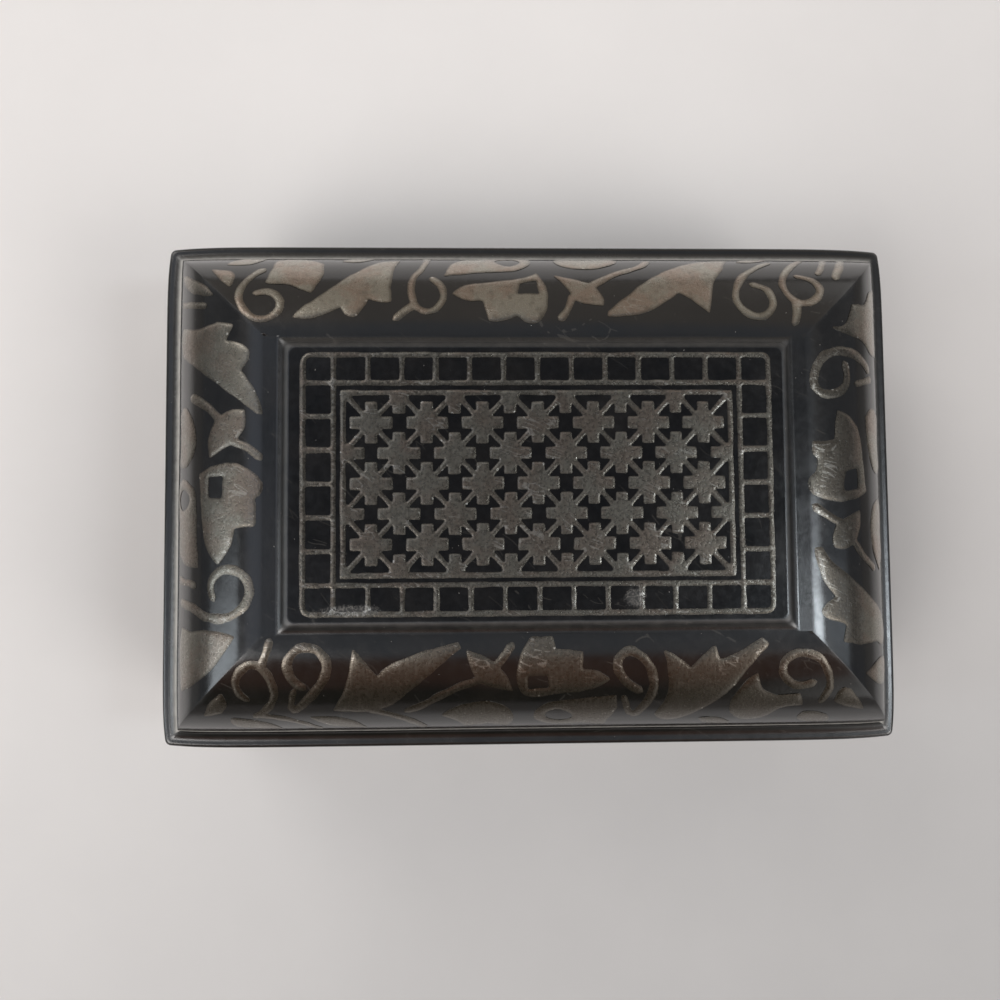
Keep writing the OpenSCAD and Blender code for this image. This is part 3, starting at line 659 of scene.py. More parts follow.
# How strong the painted shade is on faces turned to the front, at the back, and at most.
FRONT_SHADE = 0.90
BACK_SHADE = 0.24
MOST_SHADE = 0.96
FRONT_TO_BACK = (-0.3, 0.4)
RIGHT_BULGE = (3.0, -2.5)


def facing_shade_mask(tree, facing):
    """Painted shade: strong on faces turned to the front or a little to the right, weak at the back."""
    mask = remap(tree, facing[1], *FRONT_TO_BACK, FRONT_SHADE, BACK_SHADE)
    to_right = math_node(tree, "MAXIMUM", facing[0], 0.0)
    bulge = math_node(tree, "MULTIPLY", to_right, remap(tree, to_right, 0, 1, *RIGHT_BULGE))
    mask = math_node(tree, "ADD", mask, bulge)
    return remap(tree, mask, BACK_SHADE, MOST_SHADE, BACK_SHADE, MOST_SHADE)


def silver_finish(name, brown, dull_by, sparkle):
    material, tree, shader = start_finish(name)
    patch = use(tree, mottle, Size=4.5, Low=0.50 - brown, High=0.65 - brown)["Mask"]
    stain = use(tree, mottle, Size=0.8, Low=0.50, High=0.75)["Mask"]
    crumple = use(tree, mottle, Size=0.30, Low=0.30, High=0.70)["Mask"]
    # glints: bright specks painted into the silver's colour, a painted highlight.
    glints = use(tree, specks, Spacing=0.30, Radius=0.075, Share=0.30)["Mask"]
    threads = use(tree, scratches, Spacing=0.55, Width=0.03, Turn=0.35)["Mask"]
    scraped = use(tree, strokes, Width=0.07, Length=1.0, Share=0.52)["Mask"]
    spot = use(tree, scuff)
    # Painted glints along the edges of the silver, a painted highlight.
    edge_glints = use(tree, specks, Spacing=0.5, Radius=0.16, Share=0.16)["Mask"]
    middle = add(tree, "ShaderNodeAttribute", attribute_name="wear").outputs["Fac"]
    facing = parts_of(tree, add(tree, "ShaderNodeNewGeometry").outputs["Normal"])
    on_top = remap(tree, facing[2], 0.80, 0.98, 0.0, 0.30)
    at_edge = math_node(tree, "MULTIPLY", edge_glints, remap(tree, middle, 0.9, 0.3))
    colour = layered(tree, mix_colour(tree, patch, GREY_SILVER, BROWN_SILVER), [
        # First a painted shade, darkest on faces turned to the front and high on the right.
        (facing_shade_mask(tree, facing), 1.0, DARK_TARNISH_AND_SHADE),
        (crumple, 0.22, DARK_TARNISH_AND_SHADE),
        (stain, 0.5, DARK_TARNISH_AND_SHADE),
        (scraped, 0.06, BRIGHT_SILVER),
        (threads, on_top, BRIGHT_SILVER),
        (remap(tree, middle, 0.0, 0.75, 0.75, 0.0), 1.0, DARK_TARNISH_AND_SHADE),
        (glints, sparkle, BRIGHT_SILVER),
        # The painted reflection of the table also lightens the silver at the foot of the slopes.
        (use(tree, painted_foot_reflection, Strength=0.6)["Mask"], 1.0, GREY_SILVER),
        (at_edge, 1.7*sparkle, BRIGHT_SILVER),
        (spot["Haze"], 0.30, BRIGHT_SILVER),
        (spot["Lace"], 0.8, POLISHED_SILVER),
    ])
    tree.links.new(colour, shader.inputs["Base Color"])
    dull = raised(tree, remap(tree, crumple, 0, 1, dull_by, dull_by + 0.10), [(glints, -0.12)])
    tree.links.new(dull, shader.inputs["Roughness"])
    beaten = bump(tree, crumple, 0.32, 0.03)
    tree.links.new(bump(tree, scraped, 0.05, 0.02, beaten), shader.inputs["Normal"])
    shader.inputs["Metallic"].default_value = 1.0
    shader.inputs["Coat Weight"].default_value = COAT
    shader.inputs["Coat Roughness"].default_value = COAT_DULL
    return material


silver_sheet = silver_finish("silver_sheet", 0.08, 0.24, 0.40)
silver_wire = silver_finish("silver_wire", 0.04, 0.24, 0.20)
print("silver finishes", silver_sheet.name, silver_wire.name)

# %% [markdown]
# ## Lid casting
#
# The lid is one casting: a flat rim with soft edges, a small hollow, four quarter-round slopes that
# meet in hips, and a raised panel with a rolled edge. The photograph shows no crisp channel at the
# panel's foot, so a soft hollow stands in its place. Inside, the lid is hollow, with a wider mouth
# that drops over the lip. It could be cut from a block with booleans, but rings leave even quads for
# smooth reflections. They run from the top of the inside down to the mouth, round the rim and up to
# the panel.

# %% Lid profile
RIM_STATIONS = 6
COVE_STATIONS = 14
SLOPE_STATIONS = 44
FOOT_STATIONS = 9
ROLL_STATIONS = 12
INSIDE_STATIONS = 20
SLOPE_STOP = 0.65*CHANNEL_W
HIP_R = 0.012
COVE_CORNER_R = HIP_R + 0.2
PANEL_CORNER_R = 0.7
FOOT_R = 1.0
HOLLOW_WEAR = 0.6
ROLL_WEAR = (0.7,)*7 + (0.6, 0.4, 0.2, 0.0)
cove_out = math.sqrt(slope_r**2 + 2*slope_r*COVE_R)
cove_tilt = math.degrees(math.atan2(COVE_R, cove_out))
roll_in = CHANNEL_W/2 + math.sqrt(STEP_R**2 - (STEP_R - STEP_H)**2)
foot_rise = FOOT_R + STEP_R - STEP_H
foot_out = math.sqrt((STEP_R + FOOT_R)**2 - foot_rise**2) - roll_in
roll_start = math.degrees(math.atan2(foot_rise, foot_out + roll_in))


def lid_rings():
    """Rings of the outside with a wear value for each."""
    outer = [(mouth_out, rim_z), ((mouth_out + rim_out)/2, rim_z)]
    outer += arc((rim_out - RIM_R, rim_z + RIM_R), RIM_R, -90, 0, RIM_STATIONS)
    outer += arc((rim_out - RIM_R, slope_z - RIM_R), RIM_R, 0, 90, RIM_STATIONS)
    rings = [ring(top + o, RIM_CORNER_R, z) for o, z in outer]
    wear = [0.0]*len(outer)
    cove = arc((cove_out, slope_z + COVE_R), COVE_R, -90, cove_tilt - 180, COVE_STATIONS)
    slope = arc((0, slope_z), slope_r, cove_tilt, 90, SLOPE_STATIONS)
    slope = [(o, z) for o, z in slope[1:] if o > SLOPE_STOP]
    rings += [ring(top + o, COVE_CORNER_R, z) for o, z in cove]
    rings += [ring(top + o, HIP_R, z) for o, z in slope]
    wear += [0.0]*(len(cove) + len(slope))
    hollow = arc((foot_out, foot_z + FOOT_R), FOOT_R, -90, roll_start - 180, FOOT_STATIONS)
    roll = arc((-roll_in, panel_z - STEP_R), STEP_R, roll_start, 90, ROLL_STATIONS)
    corners = np.linspace(HIP_R, PANEL_CORNER_R, len(hollow))
    rings += [ring(foot + o, r, z) for (o, z), r in zip(hollow, corners)]
    rings += [ring(foot + o, PANEL_CORNER_R, z) for o, z in roll[1:]]
    wear += [*np.linspace(0, HOLLOW_WEAR, len(hollow)), *ROLL_WEAR]
    return rings, wear


def hollow_rings():
    hollow_r = slope_r - LID_T
    mouth_top = lip_high[2] + LID_CLEAR
    tilt = math.asin((mouth_top - slope_z)/hollow_r)
    inner = [(mouth_out, mouth_top)]
    inner += arc((0, slope_z), hollow_r, math.degrees(tilt), 90, INSIDE_STATIONS)[:-1]
    return [ring(top + o, HIP_R, z) for o, z in inner]


print("slope meets the hollow", round(cove_out, 2), "mm out from the slope's centre")

# %% Lid mesh
CORNER_WEAR = 0.12
PANEL_PITCH = 0.8
INSIDE_PITCH = 2.0


def make_lid():
    (outer, ring_wear), hollow = lid_rings(), hollow_rings()
    points, faces = loft(hollow[::-1] + outer)
    inside_count = len(hollow)*len(outer[0])
    points[inside_count:] = filed(points[inside_count:])
    at_corner = CORNER_WEAR*np.isin(np.arange(len(outer[0])), corner_indices())
    wear = np.concatenate([np.zeros(inside_count)] + [np.maximum(w, at_corner) for w in ring_wear])
    points, faces = cap(points, faces, outer[-1][:, :2], panel_z, PANEL_PITCH)
    points, faces = cap(points, faces, hollow[-1][:, :2], slope_z + slope_r - LID_T, INSIDE_PITCH)
    wear = np.concatenate([wear, np.zeros(len(points) - len(wear))])
    print("lid:", inside_count, "points inside,", len(outer), "outer rings")
    return make_piece("lid_body", points, faces, lid_black, wear)


lid = make_lid()
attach(lid, "lid")
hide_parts("lid_casting")

# %% [markdown]
# ## Body, base plate and lip
#
# The lower half is out of sight in the photograph, so it is kept simple: four walls on a base plate
# with a rounded edge, and a thin lip inside that keeps the lid from sliding. Boxes with a bevel would
# nearly do, but walls and lip need a soft edge on top only, so they are closed loops of rings. The
# plate is a stack of rings with a flat field below and above.

# %% Walls and lip
WALL_EDGE_R = 0.25
LIP_EDGE_R = 0.2
LIP_CORNER_R = 0.2
EDGE_TURNS = (0.5, 1.0, math.pi/2)


def make_frame(name, out, inn, low, high, corner, edge):
    """A rectangular frame, with the edges of its top softened."""
    soft = [(edge*(1 - math.cos(a)), high - edge + edge*math.sin(a)) for a in EDGE_TURNS]
    rings = [ring(out, corner, z) for z in (low, (low + high)/2, high - edge)]
    rings += [ring(out - back, corner, z) for back, z in soft]
    rings += [ring(inn + back, LIP_CORNER_R, z) for back, z in soft[::-1]]
    rings += [ring(inn, LIP_CORNER_R, z) for z in (high - edge, low)]
    points, faces = loft(rings, closed=True)
    return make_piece(name, points, faces, body_black, np.zeros(len(points)))


lip_out = lip_high[:2]
walls = make_frame("body", wall_high[:2], lip_out, wall_low[2], wall_high[2], WALL_CORNER_R, WALL_EDGE_R)
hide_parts("body_walls")
lip = make_frame("lip", lip_out, lip_out - LIP_T, lip_low[2], lip_high[2], LIP_CORNER_R, LIP_EDGE_R)
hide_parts("locating_lip")

# %% Base plate
PLATE_PITCH = 2.5
PLATE_STATIONS = 13
plate_r = (plate_high[2] - plate_low[2])/2
plate_edge = arc((-plate_r, plate_low[2] + plate_r), plate_r, -90, 90, PLATE_STATIONS)
plate_corner = WALL_CORNER_R + plate_high[0] - wall_high[0]
plate_rings = [ring(plate_high[:2] + o, plate_corner, z) for o, z in plate_edge]
plate_points, plate_faces = loft(plate_rings)
for end, z in ((0, plate_low[2]), (-1, plate_high[2])):
    rim = plate_rings[end][:, :2]
    plate_points, plate_faces = cap(plate_points, plate_faces, rim, z, PLATE_PITCH)
plate_wear = np.clip(1 - np.abs(plate_points[:, 2] - plate_r)/plate_r, 0, 1)
plate = make_piece("plate", plate_points, plate_faces, body_black, plate_wear)
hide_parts("base_plate")

for piece in (walls, lip, plate):
    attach(piece, "base")

# %% [markdown]
# ## Reading the silver's outlines
#
# The CAD solids already hold every leaf, tendril and wire. Each face of the box can be laid flat: a
# slope is unrolled, a wall and the panel are flat as they are. On the flat sheet the outer faces of
# one or more nodes are painted into a fine grid, the grid is blurred a little, and its half-way line
# is traced. The blur joins pieces that touch, and softens corners as a chisel and a hammer do. A
# little smooth noise, added before tracing, makes the line wander as a hand does.

# %% Laying a face flat


def slope_sheet(axis, sign):
    """Flat sheet of a slope: along the side, down the arc, and height over the black."""
    along = 1 - axis

    def flatten(p):
        out = sign*p[..., axis] - top[axis]
        up = p[..., 2] - slope_z
        return np.stack([p[..., along], np.arctan2(out, up)*slope_r, np.hypot(out, up) - slope_r], -1)

    def lay(a, s, h):
        angle = s/slope_r
        p = np.empty((len(a), 3))
        p[:, along] = a
        p[:, axis] = sign*(top[axis] + (slope_r + h)*np.sin(angle))
        p[:, 2] = slope_z + (slope_r + h)*np.cos(angle)
        return filed(p)

    return flatten, lay


def plane_sheet(along, across, axis, sign, level):
    """Sheet of a flat face: two ways along it, and height over the black."""
    def flatten(p):
        return np.stack([p[..., along], p[..., across], sign*p[..., axis] - level], -1)

    def lay(a, s, h):
        p = np.empty((len(a), 3))
        p[:, along], p[:, across], p[:, axis] = a, s, sign*(level + h)
        return p

    return flatten, lay


def wall_sheet(axis, sign):
    return plane_sheet(1 - axis, 2, axis, sign, wall_high[axis])


def panel_sheet():
    return plane_sheet(0, 1, 2, 1, panel_z)


print("a slope unrolls to", round(slope_r*math.pi/2, 2), "mm")

# %% Outer faces of the silver
TOP_TOLERANCE = 0.02
SAME_CAD_POINT = 1e-6
LEAST_SPREAD = 0.5


def outline_edges(node, flatten):
    """Edges round the outer faces of a CAD node, on the flat sheet."""
    source = bmesh.new()
    source.from_mesh(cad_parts[node].data)
    bmesh.ops.remove_doubles(source, verts=source.verts, dist=SAME_CAD_POINT)
    flat = flatten(np.array([v.co for v in source.verts])/MM)
    on_top = np.abs(flat[:, 2] - SILVER_PROUD) < TOP_TOLERANCE
    source.verts.index_update()
    upper = {
        f.index for f in source.faces
        if all(on_top[v.index] for v in f.verts) and turned_out(f, flat)
    }
    source.faces.index_update()
    edges = [e for e in source.edges if sum(f.index in upper for f in e.link_faces) == 1]
    starts = np.array([flat[e.verts[0].index][:2] for e in edges])
    ends = np.array([flat[e.verts[1].index][:2] for e in edges])
    source.free()
    return starts, ends


def turned_out(face, flat):
    """True for a face that covers an area of the sheet, unlike the side of a piece."""
    a, b, c = (flat[v.index][:2] for v in face.verts[:3])
    spread = abs((b[0] - a[0])*(c[1] - a[1]) - (b[1] - a[1])*(c[0] - a[0]))/2
    return spread*MM*MM > LEAST_SPREAD*face.calc_area()


# %% Painting and blurring
GRID = 0.06
BLUR_REACHES = 3


def paint(edge_sets, low, size):
    """A grid that is 1 inside any of the outlines."""
    sheet = np.zeros(size[::-1])
    columns = low[0] + GRID*np.arange(size[0])
    for starts, ends in edge_sets:
        for r in range(size[1]):
            y = low[1] + GRID*r
            hit = (starts[:, 1] > y) != (ends[:, 1] > y)
            a, b = starts[hit], ends[hit]
            across = np.sort(a[:, 0] + (y - a[:, 1])*(b[:, 0] - a[:, 0])/(b[:, 1] - a[:, 1]))
            sheet[r, np.searchsorted(across, columns) % 2 == 1] = 1
    return sheet


def blur(sheet, reach):
    steps = int(BLUR_REACHES*reach/GRID)
    weights = np.exp(-0.5*(np.arange(-steps, steps + 1)*GRID/reach)**2)
    weights /= weights.sum()
    for axis in (0, 1):
        sheet = sum(w*np.roll(sheet, k - steps, axis) for k, w in enumerate(weights))
    return sheet


# %% Tracing
HALF_WAY = 0.5


def crossing_links(sheet):
    """Neighbours of each spot where the half-way line crosses the grid."""
    solid = sheet > HALF_WAY
    corner = solid[:-1, :-1]
    same = np.all([corner == other for other in (solid[1:, :-1], solid[:-1, 1:], solid[1:, 1:])], axis=0)
    links = {}
    for r, c in np.argwhere(~same):
        spots = [(r, c), (r, c + 1), (r + 1, c + 1), (r + 1, c)]
        cuts = [
            tuple(sorted((spots[k], spots[(k + 1) % 4]))) for k in range(4)
            if solid[spots[k]] != solid[spots[(k + 1) % 4]]
        ]
        if len(cuts) == 4 and solid[r, c] == (sheet[r:r + 2, c:c + 2].mean() > HALF_WAY):
            cuts = cuts[1:] + cuts[:1]
        for one, other in zip(cuts[::2], cuts[1::2]):
            links.setdefault(one, []).append(other)
            links.setdefault(other, []).append(one)
    return links


def trace(sheet, low):
    """Closed outlines along the half-way line of a grid."""
    links = crossing_links(sheet)
    loops = []
    while links:
        loop, here = [], next(iter(links))
        while here in links:
            loop.append(here)
            ahead = [n for n in links.pop(here) if n in links]
            here = ahead[0] if ahead else None
        spots = []
        for (r0, c0), (r1, c1) in loop:
            share = (HALF_WAY - sheet[r0, c0])/(sheet[r1, c1] - sheet[r0, c0])
            spots.append((low[0] + GRID*(c0 + share*(c1 - c0)), low[1] + GRID*(r0 + share*(r1 - r0))))
        loops.append(np.array(spots))
    return loops


# %% [markdown]
# ## Thinning the outlines
#
# A traced line has a point on every grid line that it crosses, far more than the mesh needs. Points
# that lie on a straight stretch are dropped, and tiny loops are left out. A coarser grid would also
# give fewer points, but it would lose the tips of the leaves.

# %% Thinning
THIN_TOLERANCE = 0.006
LONGEST_STEP = 0.7
SMALLEST_AREA = 0.08
NOT_ZERO = 1e-9


def thin(loop):
    """Keeps only the points that an outline needs."""
    kept = [0]
    start = 0
    for end in range(2, len(loop)):
        chord = loop[end] - loop[start]
        length = math.hypot(*chord)
        off = loop[start + 1:end] - loop[start]
        aside = np.abs(off[:, 0]*chord[1] - off[:, 1]*chord[0])/max(length, NOT_ZERO)
        if aside.max() > THIN_TOLERANCE or length > LONGEST_STEP:
            start = end - 1
            kept.append(start)
    return loop[kept]


def loop_area(loop):
    following = np.roll(loop, -1, 0)
    return abs((loop[:, 0]*following[:, 1] - loop[:, 1]*following[:, 0]).sum())/2


# %% Outlines cut by hand
HAND_WAVE = 0.42
OUTLINE_MARGIN = 0.6
GRID_SHIFT = 0.00137


def hand_wander(size, share, seed):
    """A smooth random field, about as strong as a fraction of the painted step."""
    field = blur(np.random.default_rng(seed).normal(size=size), HAND_WAVE)
    return share*field/field.std()


def silver_outline(nodes, flatten, soften, hand, seed):
    edge_sets = [outline_edges(n, flatten) for n in nodes]
    corners = np.concatenate([e for pair in edge_sets for e in pair])
    low = corners.min(0) - OUTLINE_MARGIN + GRID_SHIFT
    size = np.ceil((corners.max(0) + OUTLINE_MARGIN - low)/GRID).astype(int) + 1
    sheet = blur(paint(edge_sets, low, size), soften)
    sheet += hand_wander(sheet.shape, hand, seed)*np.clip(4*sheet*(1 - sheet), 0, 1)
    loops = trace(sheet, low)
    return [thin(loop) for loop in loops if loop_area(loop) > SMALLEST_AREA]


# %% [markdown]
# ## Building the silver
#
# Beaten silver stands a hair above the black and its edges roll over. Rows of points follow the
# outline at growing distances inside it. A bevel would overlap itself at the narrow tips, but points
# that come too close to another edge are simply left out. The height over the black depends only on
# how far a point is from the outline, plus the hand-worked unevenness. The same outline, pushed down
# into the casting, closes the piece from below.

# %% Rows and faces of the silver
ROLL_ROWS = (0.05, 0.12, 0.21, 0.32)
ROW_CLEAR = 0.9
DENSE_STEP = 0.06


def inner_rows(loops, edge_tree):
    found = []
    for loop in loops:
        step = np.roll(loop, -1, 0) - np.roll(loop, 1, 0)
        side = np.column_stack([-step[:, 1], step[:, 0]])/np.maximum(np.hypot(*step.T), NOT_ZERO)[:, None]
        for distance in ROLL_ROWS:
            for way in (1, -1):
                for p in loop + way*distance*side:
                    if edge_tree.find((*p, 0))[2] > ROW_CLEAR*distance:
                        found.append(p)
    return np.array(found)


def dense(loop):
    """The outline with points every few hundredths of a millimetre."""
    following = np.roll(loop, -1, 0)
    return np.concatenate([
        a + (b - a)*np.linspace(0, 1, max(int(math.dist(a, b)/DENSE_STEP), 1), endpoint=False)[:, None]
        for a, b in zip(loop, following)
    ])


def closed_faces(faces, count):
    """Upper faces, the same faces below, and walls between them along the open edges."""
    open_sides = {}
    for a, b, c in faces:
        for e in ((a, b), (b, c), (c, a)):
            key = tuple(sorted(e))
            open_sides[key] = None if key in open_sides else e
    made = [tuple(int(v) for v in f) for f in faces]
    made += [(int(c) + count, int(b) + count, int(a) + count) for a, b, c in faces]
    rim = [(int(a), int(b)) for a, b in filter(None, open_sides.values())]
    return made + [(b, a, a + count, b + count) for a, b in rim]


# %% A piece of silver
FIELD_PITCH = 0.75
FIELD_GAP = 0.1
SEAT_DEPTH = 0.15
EDGE_STEP = 0.04
CROWN = 0.035


def make_silver(name, nodes, sheet, material, seed, roll, soften, hand):
    flatten, lay = sheet
    loops = silver_outline(nodes, flatten, soften, hand, seed)
    edge = np.concatenate([dense(loop) for loop in loops])
    edge_tree = kdtree.KDTree(len(edge))
    for k, p in enumerate(edge):
        edge_tree.insert((*p, 0), k)
    edge_tree.balance()
    field_from = ROLL_ROWS[-1] + FIELD_GAP
    field = [p for p in grid_inside(loops, FIELD_PITCH) if edge_tree.find((*p, 0))[2] > field_from]
    extra = np.concatenate([inner_rows(loops, edge_tree), np.array(field).reshape(-1, 2)])
    flat, faces = fill(loops, extra)
    used = np.unique(faces)
    flat, faces = flat[used], np.searchsorted(used, faces)
    far = np.array([edge_tree.find((*p, 0))[2] for p in flat])
    share = np.clip(far/roll, 0, 1)
    height = EDGE_STEP + CROWN*share*share*(3 - 2*share)
    surface = lay(flat[:, 0], flat[:, 1], np.zeros(len(flat)))
    height += [unevenness(p) for p in surface]
    upper = lay(flat[:, 0], flat[:, 1], height)
    lower = lay(flat[:, 0], flat[:, 1], np.full(len(flat), -SEAT_DEPTH))
    points = np.concatenate([upper, lower])
    wear = np.concatenate([share, np.zeros(len(share))])
    piece = make_piece(name, points, closed_faces(faces, len(flat)), material, wear)
    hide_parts(*nodes)
    return piece


# %% [markdown]
# ## Silver on the slopes and walls
#
# Each slope and each wall carries one vine: leaves, flowers and curling tendrils that run into each
# other. Leaves and tendrils could be separate pieces, as in the CAD model. A vine is one piece here,
# because they meet without a seam on the real lid. The walls are out of sight in the photograph, so
# their vines follow the lid's. Each side has its own random seed.

# %% Vines
VINE_CUT = {"roll": 0.42, "soften": 0.12, "hand": 0.16}
SIDES = {"front": (1, -1), "back": (1, 1), "left": (0, -1), "right": (0, 1)}
for turn, (side, (axis, sign)) in enumerate(SIDES.items()):
    for place, sheet, rides_on in (("slope", slope_sheet, "lid"), ("wall", wall_sheet, "base")):
        nodes = [f"{place}_leaves_{side}", f"{place}_tendrils_{side}"]
        name = f"{place}_vine_{side}"
        vine = make_silver(name, nodes, sheet(axis, sign), silver_sheet, turn, **VINE_CUT)
        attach(vine, rides_on)

# %% [markdown]
# ## Silver in the panel
#
# The panel holds two networks. The ladder is a double wire with rungs round the edge. Inside it, a
# frame holds rows of eight-pointed stars, joined by wires on the slant. Wires swept along curves would
# lie across each other, so each network is traced as one outline with holes. Its wire is cut more
# evenly than the vines.

# %% Panel networks
WIRE_CUT = {"roll": 0.26, "soften": 0.11, "hand": 0.09}
LADDER_NODES = ["panel_outer_wire", "panel_inner_wire", "panel_rungs"]
LATTICE_NODES = ["lattice_frame", "lattice_stars", "lattice_cross_wires"]
PANEL_NETS = {
    "ladder": (LADDER_NODES, silver_wire, "silver_wire", 11),
    "lattice": (LATTICE_NODES, silver_sheet, "silver_sheet", 12),
}
for name, (nodes, material, slot, seed) in PANEL_NETS.items():
    net = make_silver(name, nodes, panel_sheet(), material, seed, **WIRE_CUT)
    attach(net, "lid")

# %% [markdown]
# ## Unevenness on the black
#
# The silver already follows the hand-worked unevenness, so the outside of the casting and of the
# walls gets the same movement. It comes last, because it needs the normals of the finished meshes.
# The rim and the ends of the walls stay true, so that lid and body still meet.

# %% Unevenness on the black
RIM_KEPT = 0.5
LID_SKIN = 1.5
WALL_ENDS_KEPT = 1.0
WALL_SKIN = 0.5


def on_lid_outside(p):
    out = max(abs(p[0]) - top[0], abs(p[1]) - top[1], p[2] - slope_z)
    return p[2] > slope_z + RIM_KEPT and out > slope_r - LID_SKIN


def on_wall_outside(p):
    out = max(abs(p[0]) - wall_high[0], abs(p[1]) - wall_high[1])
    return wall_low[2] + WALL_ENDS_KEPT < p[2] < wall_high[2] - WALL_ENDS_KEPT and out > -WALL_SKIN


def wobble(piece, is_outside):
    """Moves the outside of a piece by the hand-worked unevenness."""
    moved = {
        v.index: v.co + v.normal*unevenness(v.co/MM)*MM
        for v in piece.data.vertices if is_outside(v.co/MM)
    }
    for k, co in moved.items():
        piece.data.vertices[k].co = co
    print(piece.name, len(moved), "points moved")


wobble(lid, on_lid_outside)
wobble(walls, on_wall_outside)

# %% [markdown]
# ## Floor
#
# The box stands on a pale sheet. A painted gradient across it, grey at the front right and pale at
# the back left, is a painted shade for the fall of the light and a soft shadow on the table. Out to
# the sides and the front the floor turns dark, a painted shade for the lower slopes to mirror: they
# mirror the pale sheet only in a narrow band at their foot. Two planes could show that, but one plane
# with a soft change of colour has no hard edge to mirror.

# %% Floor
FLOOR_SIZE = 6.0
FLOOR_PALE = (0.84, 0.81, 0.79, 1)
# Grey end of the painted gradient, a painted shade on the table.
FLOOR_PAINTED_SHADE = (0.41, 0.40, 0.395, 1)
# Dark floor beyond the pale sheet, a painted shade for the lower slopes to mirror.
FLOOR_PAINTED_DARK = (0.15, 0.14, 0.13, 1)
FLOOR_DULL = 0.6
NEAR_EDGE, FAR_EDGE = 0.080, 0.150
SHADE_AT, PALE_AT = -0.125, 0.085
SLANT = 0.6
PALE_SHARE, CLOUD_SHARE = 0.88, 0.12


def table_finish():
    table, tree, shader = start_finish("pale_table")
    at = parts_of(tree, add(tree, "ShaderNodeTexCoord").outputs["Object"])
    across = math_node(tree, "SUBTRACT", at[1], math_node(tree, "MULTIPLY", at[0], SLANT))
    cloud = use(tree, mottle, Size=45.0, Low=0.25, High=0.75)["Mask"]
    # A painted gradient from grey at the front right to pale at the back left: painted light and shade on
    # the table.
    lighter = raised(tree, remap(tree, across, SHADE_AT, PALE_AT, 0.0, PALE_SHARE), [(cloud, CLOUD_SHARE)])
    colour = mix_colour(tree, lighter, FLOOR_PAINTED_SHADE, FLOOR_PALE)
    to_side = remap(tree, math_node(tree, "ABSOLUTE", at[0]), NEAR_EDGE, FAR_EDGE)
    to_front = remap(tree, at[1], -NEAR_EDGE, -FAR_EDGE)
    # The floor turns dark out at the sides and the front: a painted shade.
    colour = mix_colour(tree, math_node(tree, "MAXIMUM", to_side, to_front), colour, FLOOR_PAINTED_DARK)
    tree.links.new(colour, shader.inputs["Base Color"])
    shader.inputs["Roughness"].default_value = FLOOR_DULL
    return table


half = FLOOR_SIZE/2
floor_corners = [(-half, -half, 0), (half, -half, 0), (half, half, 0), (-half, half, 0)]
floor_mesh = bpy.data.meshes.new("floor")
floor_mesh.from_pydata(floor_corners, [], [(0, 1, 2, 3)])
floor_mesh.materials.append(table_finish())
floor = bpy.data.objects.new("floor", floor_mesh)
bpy.context.scene.collection.objects.link(floor)
print("floor", FLOOR_SIZE, "m wide")

# %% [markdown]
# ## Lamps
#
# Narrow windows to the right and left draw the pale blue reflections on the end slopes. Broad lamps
# stand on the diagonals, where no slope mirrors them, and give the table its level and the box its
# soft shadows. One big lamp overhead would be simpler, but the polished panel would mirror it.

# %% Lamps
AIM = Vector((0, 0, 0.03))
BLUE_WHITE = (0.86, 0.94, 1.0)
WARM_WHITE = (1.0, 0.98, 0.96)
WINDOWS = {
    "window_right_high": ((0.657, -0.075, 1.236), (0.15, 0.25), 1.7, BLUE_WHITE),
    "window_right_low": ((1.10, -0.06, 0.88), (0.16, 0.70), 0.35, (0.80, 0.90, 1.0)),
    "window_left": ((-1.17, -0.155, 0.76), (0.24, 0.85), 2.1, BLUE_WHITE),
}
SOFT_LAMPS = {
    "soft_front_left": ((-0.75, -0.67, 1.25), (0.70, 0.70), 9.0, (1.0, 0.975, 0.95)),
    "soft_front_right": ((0.99, -0.64, 1.09), (0.70, 0.70), 7.5, WARM_WHITE),
    "soft_back_left": ((-0.80, 0.88, 1.07), (0.70, 0.70), 3.8, WARM_WHITE),
}


def lamp(name, at, size, power, colour):
    data = bpy.data.lights.new(name, "AREA")
    data.shape = "RECTANGLE"
    data.size, data.size_y = size
    data.energy = power
    data.color = colour
    made = bpy.data.objects.new(name, data)
    made.location = at
    made.rotation_euler = (AIM - Vector(at)).to_track_quat("-Z", "Y").to_euler()
    bpy.context.scene.collection.objects.link(made)


for name, settings in {**WINDOWS, **SOFT_LAMPS}.items():
    lamp(name, *settings)

# %% [markdown]
# ## Room light
#
# Polished black shows little but the room round it. A picture of a room could light it, but a few
# soft zones, mixed by the way a ray goes, can be placed one by one: a dark spot overhead, a paler
# ceiling round it, a brown dusk in front, a warm wall behind and grey walls beside. So each slope
# shows its own tone.

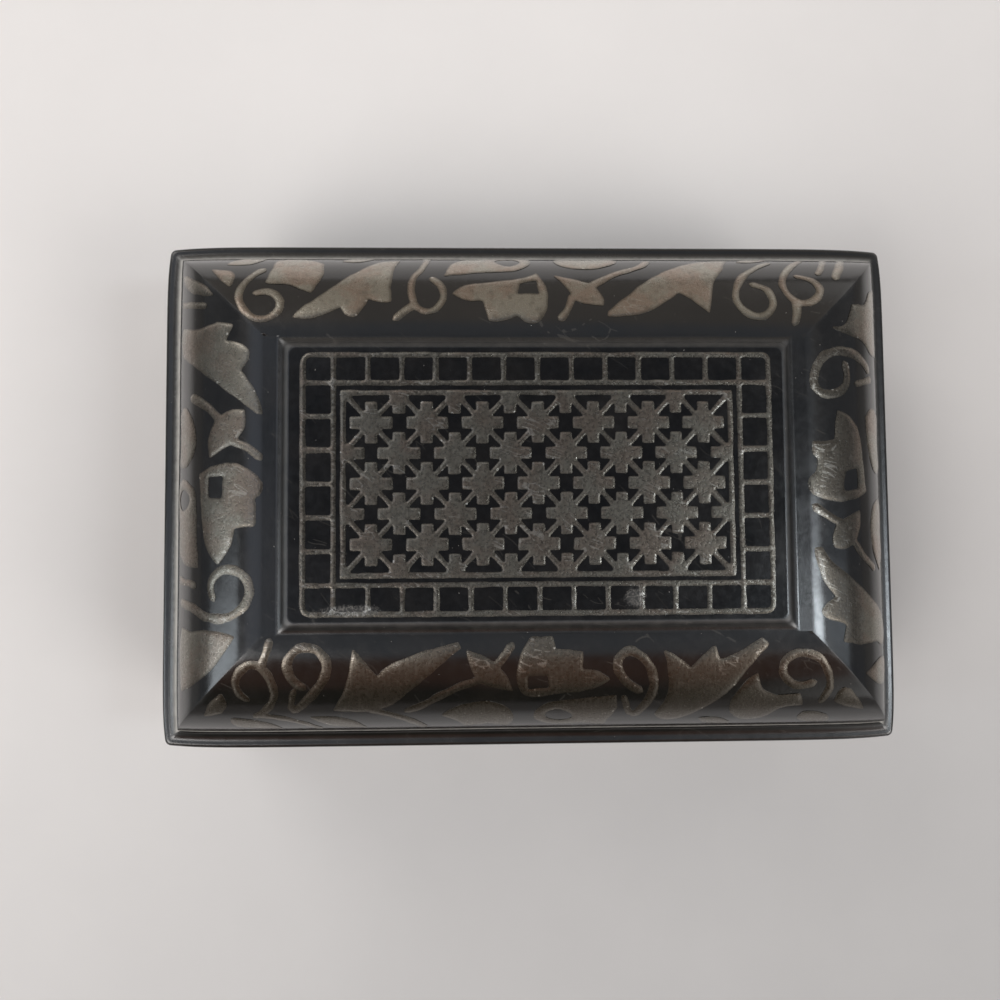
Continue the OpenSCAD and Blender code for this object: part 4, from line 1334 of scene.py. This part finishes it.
# %% Room zones
OVERHEAD = (0.060, 0.060, 0.066, 1)
CEILING = (0.28, 0.295, 0.32, 1)
CEILING_LEFT = (0.50, 0.545, 0.63, 1)
BEHIND = (0.37, 0.335, 0.30, 1)
BESIDE = (0.17, 0.175, 0.185, 1)
CORNERS = (0.90, 0.88, 0.86, 1)
FRONT_HIGH = (0.21, 0.115, 0.080, 1)
FRONT_LOW = (0.062, 0.055, 0.038, 1)
BESIDE_EDGE = (0.35, 0.70)
FRONT_EDGE = (-0.30, -0.50)
FRONT_RISE = (0.25, 0.60)
CORNER_EDGE = (0.22, 0.36)
CEILING_EDGE = (0.36, 0.20)
LEFT_EDGE = (-0.12, -0.30)
OVERHEAD_AT = (0.075, 0.09)
OVERHEAD_REACH = (0.235, 0.15)
OVERHEAD_EDGE = (1.9, 1.1)
print("ceiling fades over", CEILING_EDGE)

# %% Room light
world = bpy.data.worlds.new("room")
bpy.context.scene.world = world
world.use_nodes = True
room = world.node_tree
way = parts_of(room, add(room, "ShaderNodeTexCoord").outputs["Generated"])


def away(centre, reach):
    """Squared distance of a ray's x and y from a centre, in units of a reach."""
    squares = []
    for value, middle, unit in zip(way, centre, reach):
        off = math_node(room, "DIVIDE", math_node(room, "SUBTRACT", value, middle), unit)
        squares.append(math_node(room, "MULTIPLY", off, off))
    return math_node(room, "ADD", *squares)


beside = remap(room, math_node(room, "ABSOLUTE", way[0]), *BESIDE_EDGE)
front = remap(room, way[1], *FRONT_EDGE)
front_colour = mix_colour(room, remap(room, way[2], *FRONT_RISE), FRONT_LOW, FRONT_HIGH)
diagonal = math_node(room, "ABSOLUTE", math_node(room, "MULTIPLY", way[0], way[1]))
ceiling = remap(room, away((0.0, 0.0), (1.0, 1.0)), *CEILING_EDGE)
ceiling_colour = mix_colour(room, remap(room, way[0], *LEFT_EDGE), CEILING, CEILING_LEFT)
overhead = remap(room, away(OVERHEAD_AT, OVERHEAD_REACH), *OVERHEAD_EDGE)
is_up = math_node(room, "GREATER_THAN", way[2], 0.0)
room_colour = layered(room, mix_colour(room, beside, BEHIND, BESIDE), [
    (front, 1.0, front_colour),
    (remap(room, diagonal, *CORNER_EDGE), 1.0, CORNERS),
    (ceiling, is_up, ceiling_colour),
    (overhead, is_up, OVERHEAD),
])
room.links.new(room_colour, room.nodes["Background"].inputs["Color"])
print("room light is in place")
